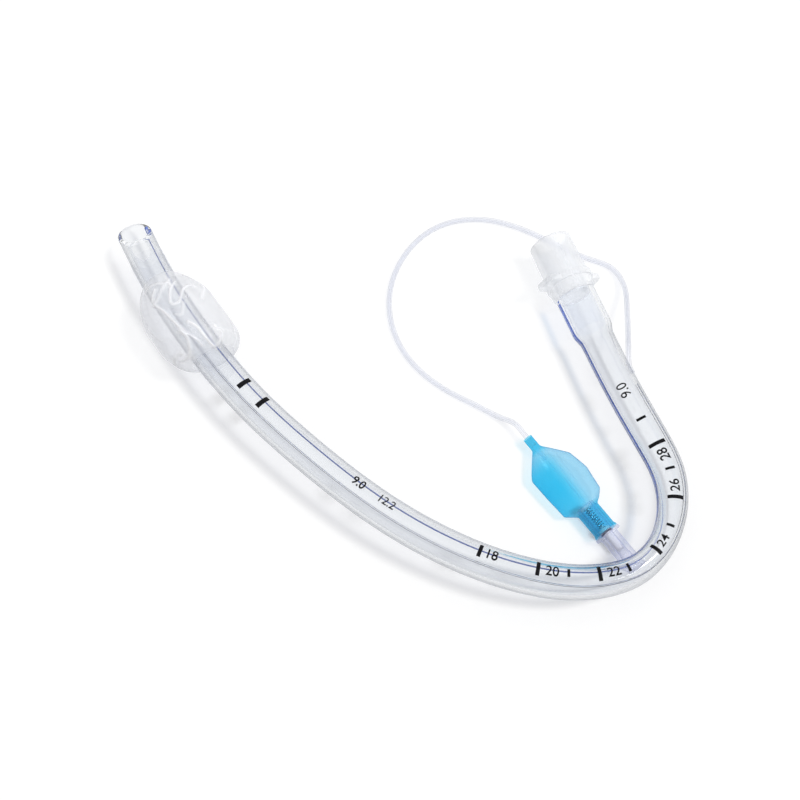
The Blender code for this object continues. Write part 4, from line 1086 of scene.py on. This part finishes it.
stageLook = {
    "floor": (0.86, 0.86, 0.86), "lift": 0.2, "halfSize": 3.0, "below": 0.05 * mm,
    "key": 1.77, "keyElevation": 61.0, "keyHeading": -8.0, "keyAngle": 12.0,
    "world": 0.6, "dark": 0.35, "from": -0.8, "to": 0.0, "whiteSide": (-0.3, 0.95, 0.0),
    "thinSurfaces": 32,
}


def seenByEye(make, link):
    # the path node, and 1 for rays that come from the camera, by a mirror or through glass too
    path = make("ShaderNodeLightPath")
    first = make("ShaderNodeMath", operation="ADD", use_clamp=True)
    total = make("ShaderNodeMath", operation="ADD", use_clamp=True)
    link(path.outputs["Is Camera Ray"], first.inputs[0])
    link(path.outputs["Is Glossy Ray"], first.inputs[1])
    link(first.outputs[0], total.inputs[0])
    link(path.outputs["Is Transmission Ray"], total.inputs[1])
    return path, total.outputs[0]


bench = bpy.data.meshes.new("bench")
corners = ((-1, -1), (1, -1), (1, 1), (-1, 1))
bench.from_pydata([(x * stageLook["halfSize"], y * stageLook["halfSize"], -stageLook["below"])
                   for x, y in corners], [], [(0, 1, 2, 3)])
floor = bpy.data.objects.new("bench", bench)
bpy.context.scene.collection.objects.link(floor)
floorMaterial = bpy.data.materials.new("benchWhite")
floorMaterial.use_nodes = True
tree = floorMaterial.node_tree
tree.nodes.clear()
make = nodeMaker(tree)
diffuse = make("ShaderNodeBsdfDiffuse", Color=(*stageLook["floor"], 1.0))
glow = make("ShaderNodeEmission")
_, seen = seenByEye(make, tree.links.new)
amount = make("ShaderNodeMath", operation="MULTIPLY")
amount.inputs[1].default_value = stageLook["lift"]
both = make("ShaderNodeAddShader")
out = make("ShaderNodeOutputMaterial")
tree.links.new(seen, amount.inputs[0])
tree.links.new(amount.outputs[0], glow.inputs["Strength"])
tree.links.new(diffuse.outputs[0], both.inputs[0])
tree.links.new(glow.outputs[0], both.inputs[1])
tree.links.new(both.outputs[0], out.inputs["Surface"])
bench.materials.append(floorMaterial)

keyData = bpy.data.lights.new("key", "SUN")
keyData.energy = stageLook["key"]
keyData.angle = math.radians(stageLook["keyAngle"])
key = bpy.data.objects.new("key", keyData)
bpy.context.scene.collection.objects.link(key)
rise = math.radians(stageLook["keyElevation"])
turn = math.radians(stageLook["keyHeading"])
towards = Vector((math.cos(rise) * math.cos(turn), math.cos(rise) * math.sin(turn), math.sin(rise)))
key.rotation_euler = towards.to_track_quat("Z", "Y").to_euler()

world = bpy.data.worlds.new("studio")
bpy.context.scene.world = world
world.use_nodes = True
tree = world.node_tree
tree.nodes.clear()
make = nodeMaker(tree)
rays, seen = seenByEye(make, tree.links.new)
strength = make("ShaderNodeMapRange")
strength.inputs["To Min"].default_value = stageLook["world"]
strength.inputs["To Max"].default_value = 1.0
sky = make("ShaderNodeBackground")
# white overhead and to the back left, darker towards the front right
direction = make("ShaderNodeTexCoord")
along = make("ShaderNodeVectorMath", operation="DOT_PRODUCT")
along.inputs[1].default_value = stageLook["whiteSide"]
side = make("ShaderNodeMapRange")
side.inputs["From Min"].default_value = stageLook["from"]
side.inputs["From Max"].default_value = stageLook["to"]
side.inputs["To Min"].default_value = stageLook["dark"]
tree.links.new(direction.outputs["Generated"], along.inputs[0])
tree.links.new(along.outputs["Value"], side.inputs["Value"])
# seen straight on it is white all round
straight = make("ShaderNodeMath", operation="MAXIMUM")
tree.links.new(side.outputs["Result"], straight.inputs[0])
tree.links.new(rays.outputs["Is Camera Ray"], straight.inputs[1])
tree.links.new(straight.outputs[0], sky.inputs["Color"])
out = make("ShaderNodeOutputWorld")
tree.links.new(seen, strength.inputs["Value"])
tree.links.new(strength.outputs["Result"], sky.inputs["Strength"])
tree.links.new(sky.outputs[0], out.inputs["Surface"])

bpy.context.scene.view_settings.view_transform = "Standard"
# a ray crosses about a dozen thin surfaces where the nipple lies in the shaft or the cuff round it
bpy.context.scene.cycles.transparent_max_bounces = stageLook["thinSurfaces"]


print("stage ready")
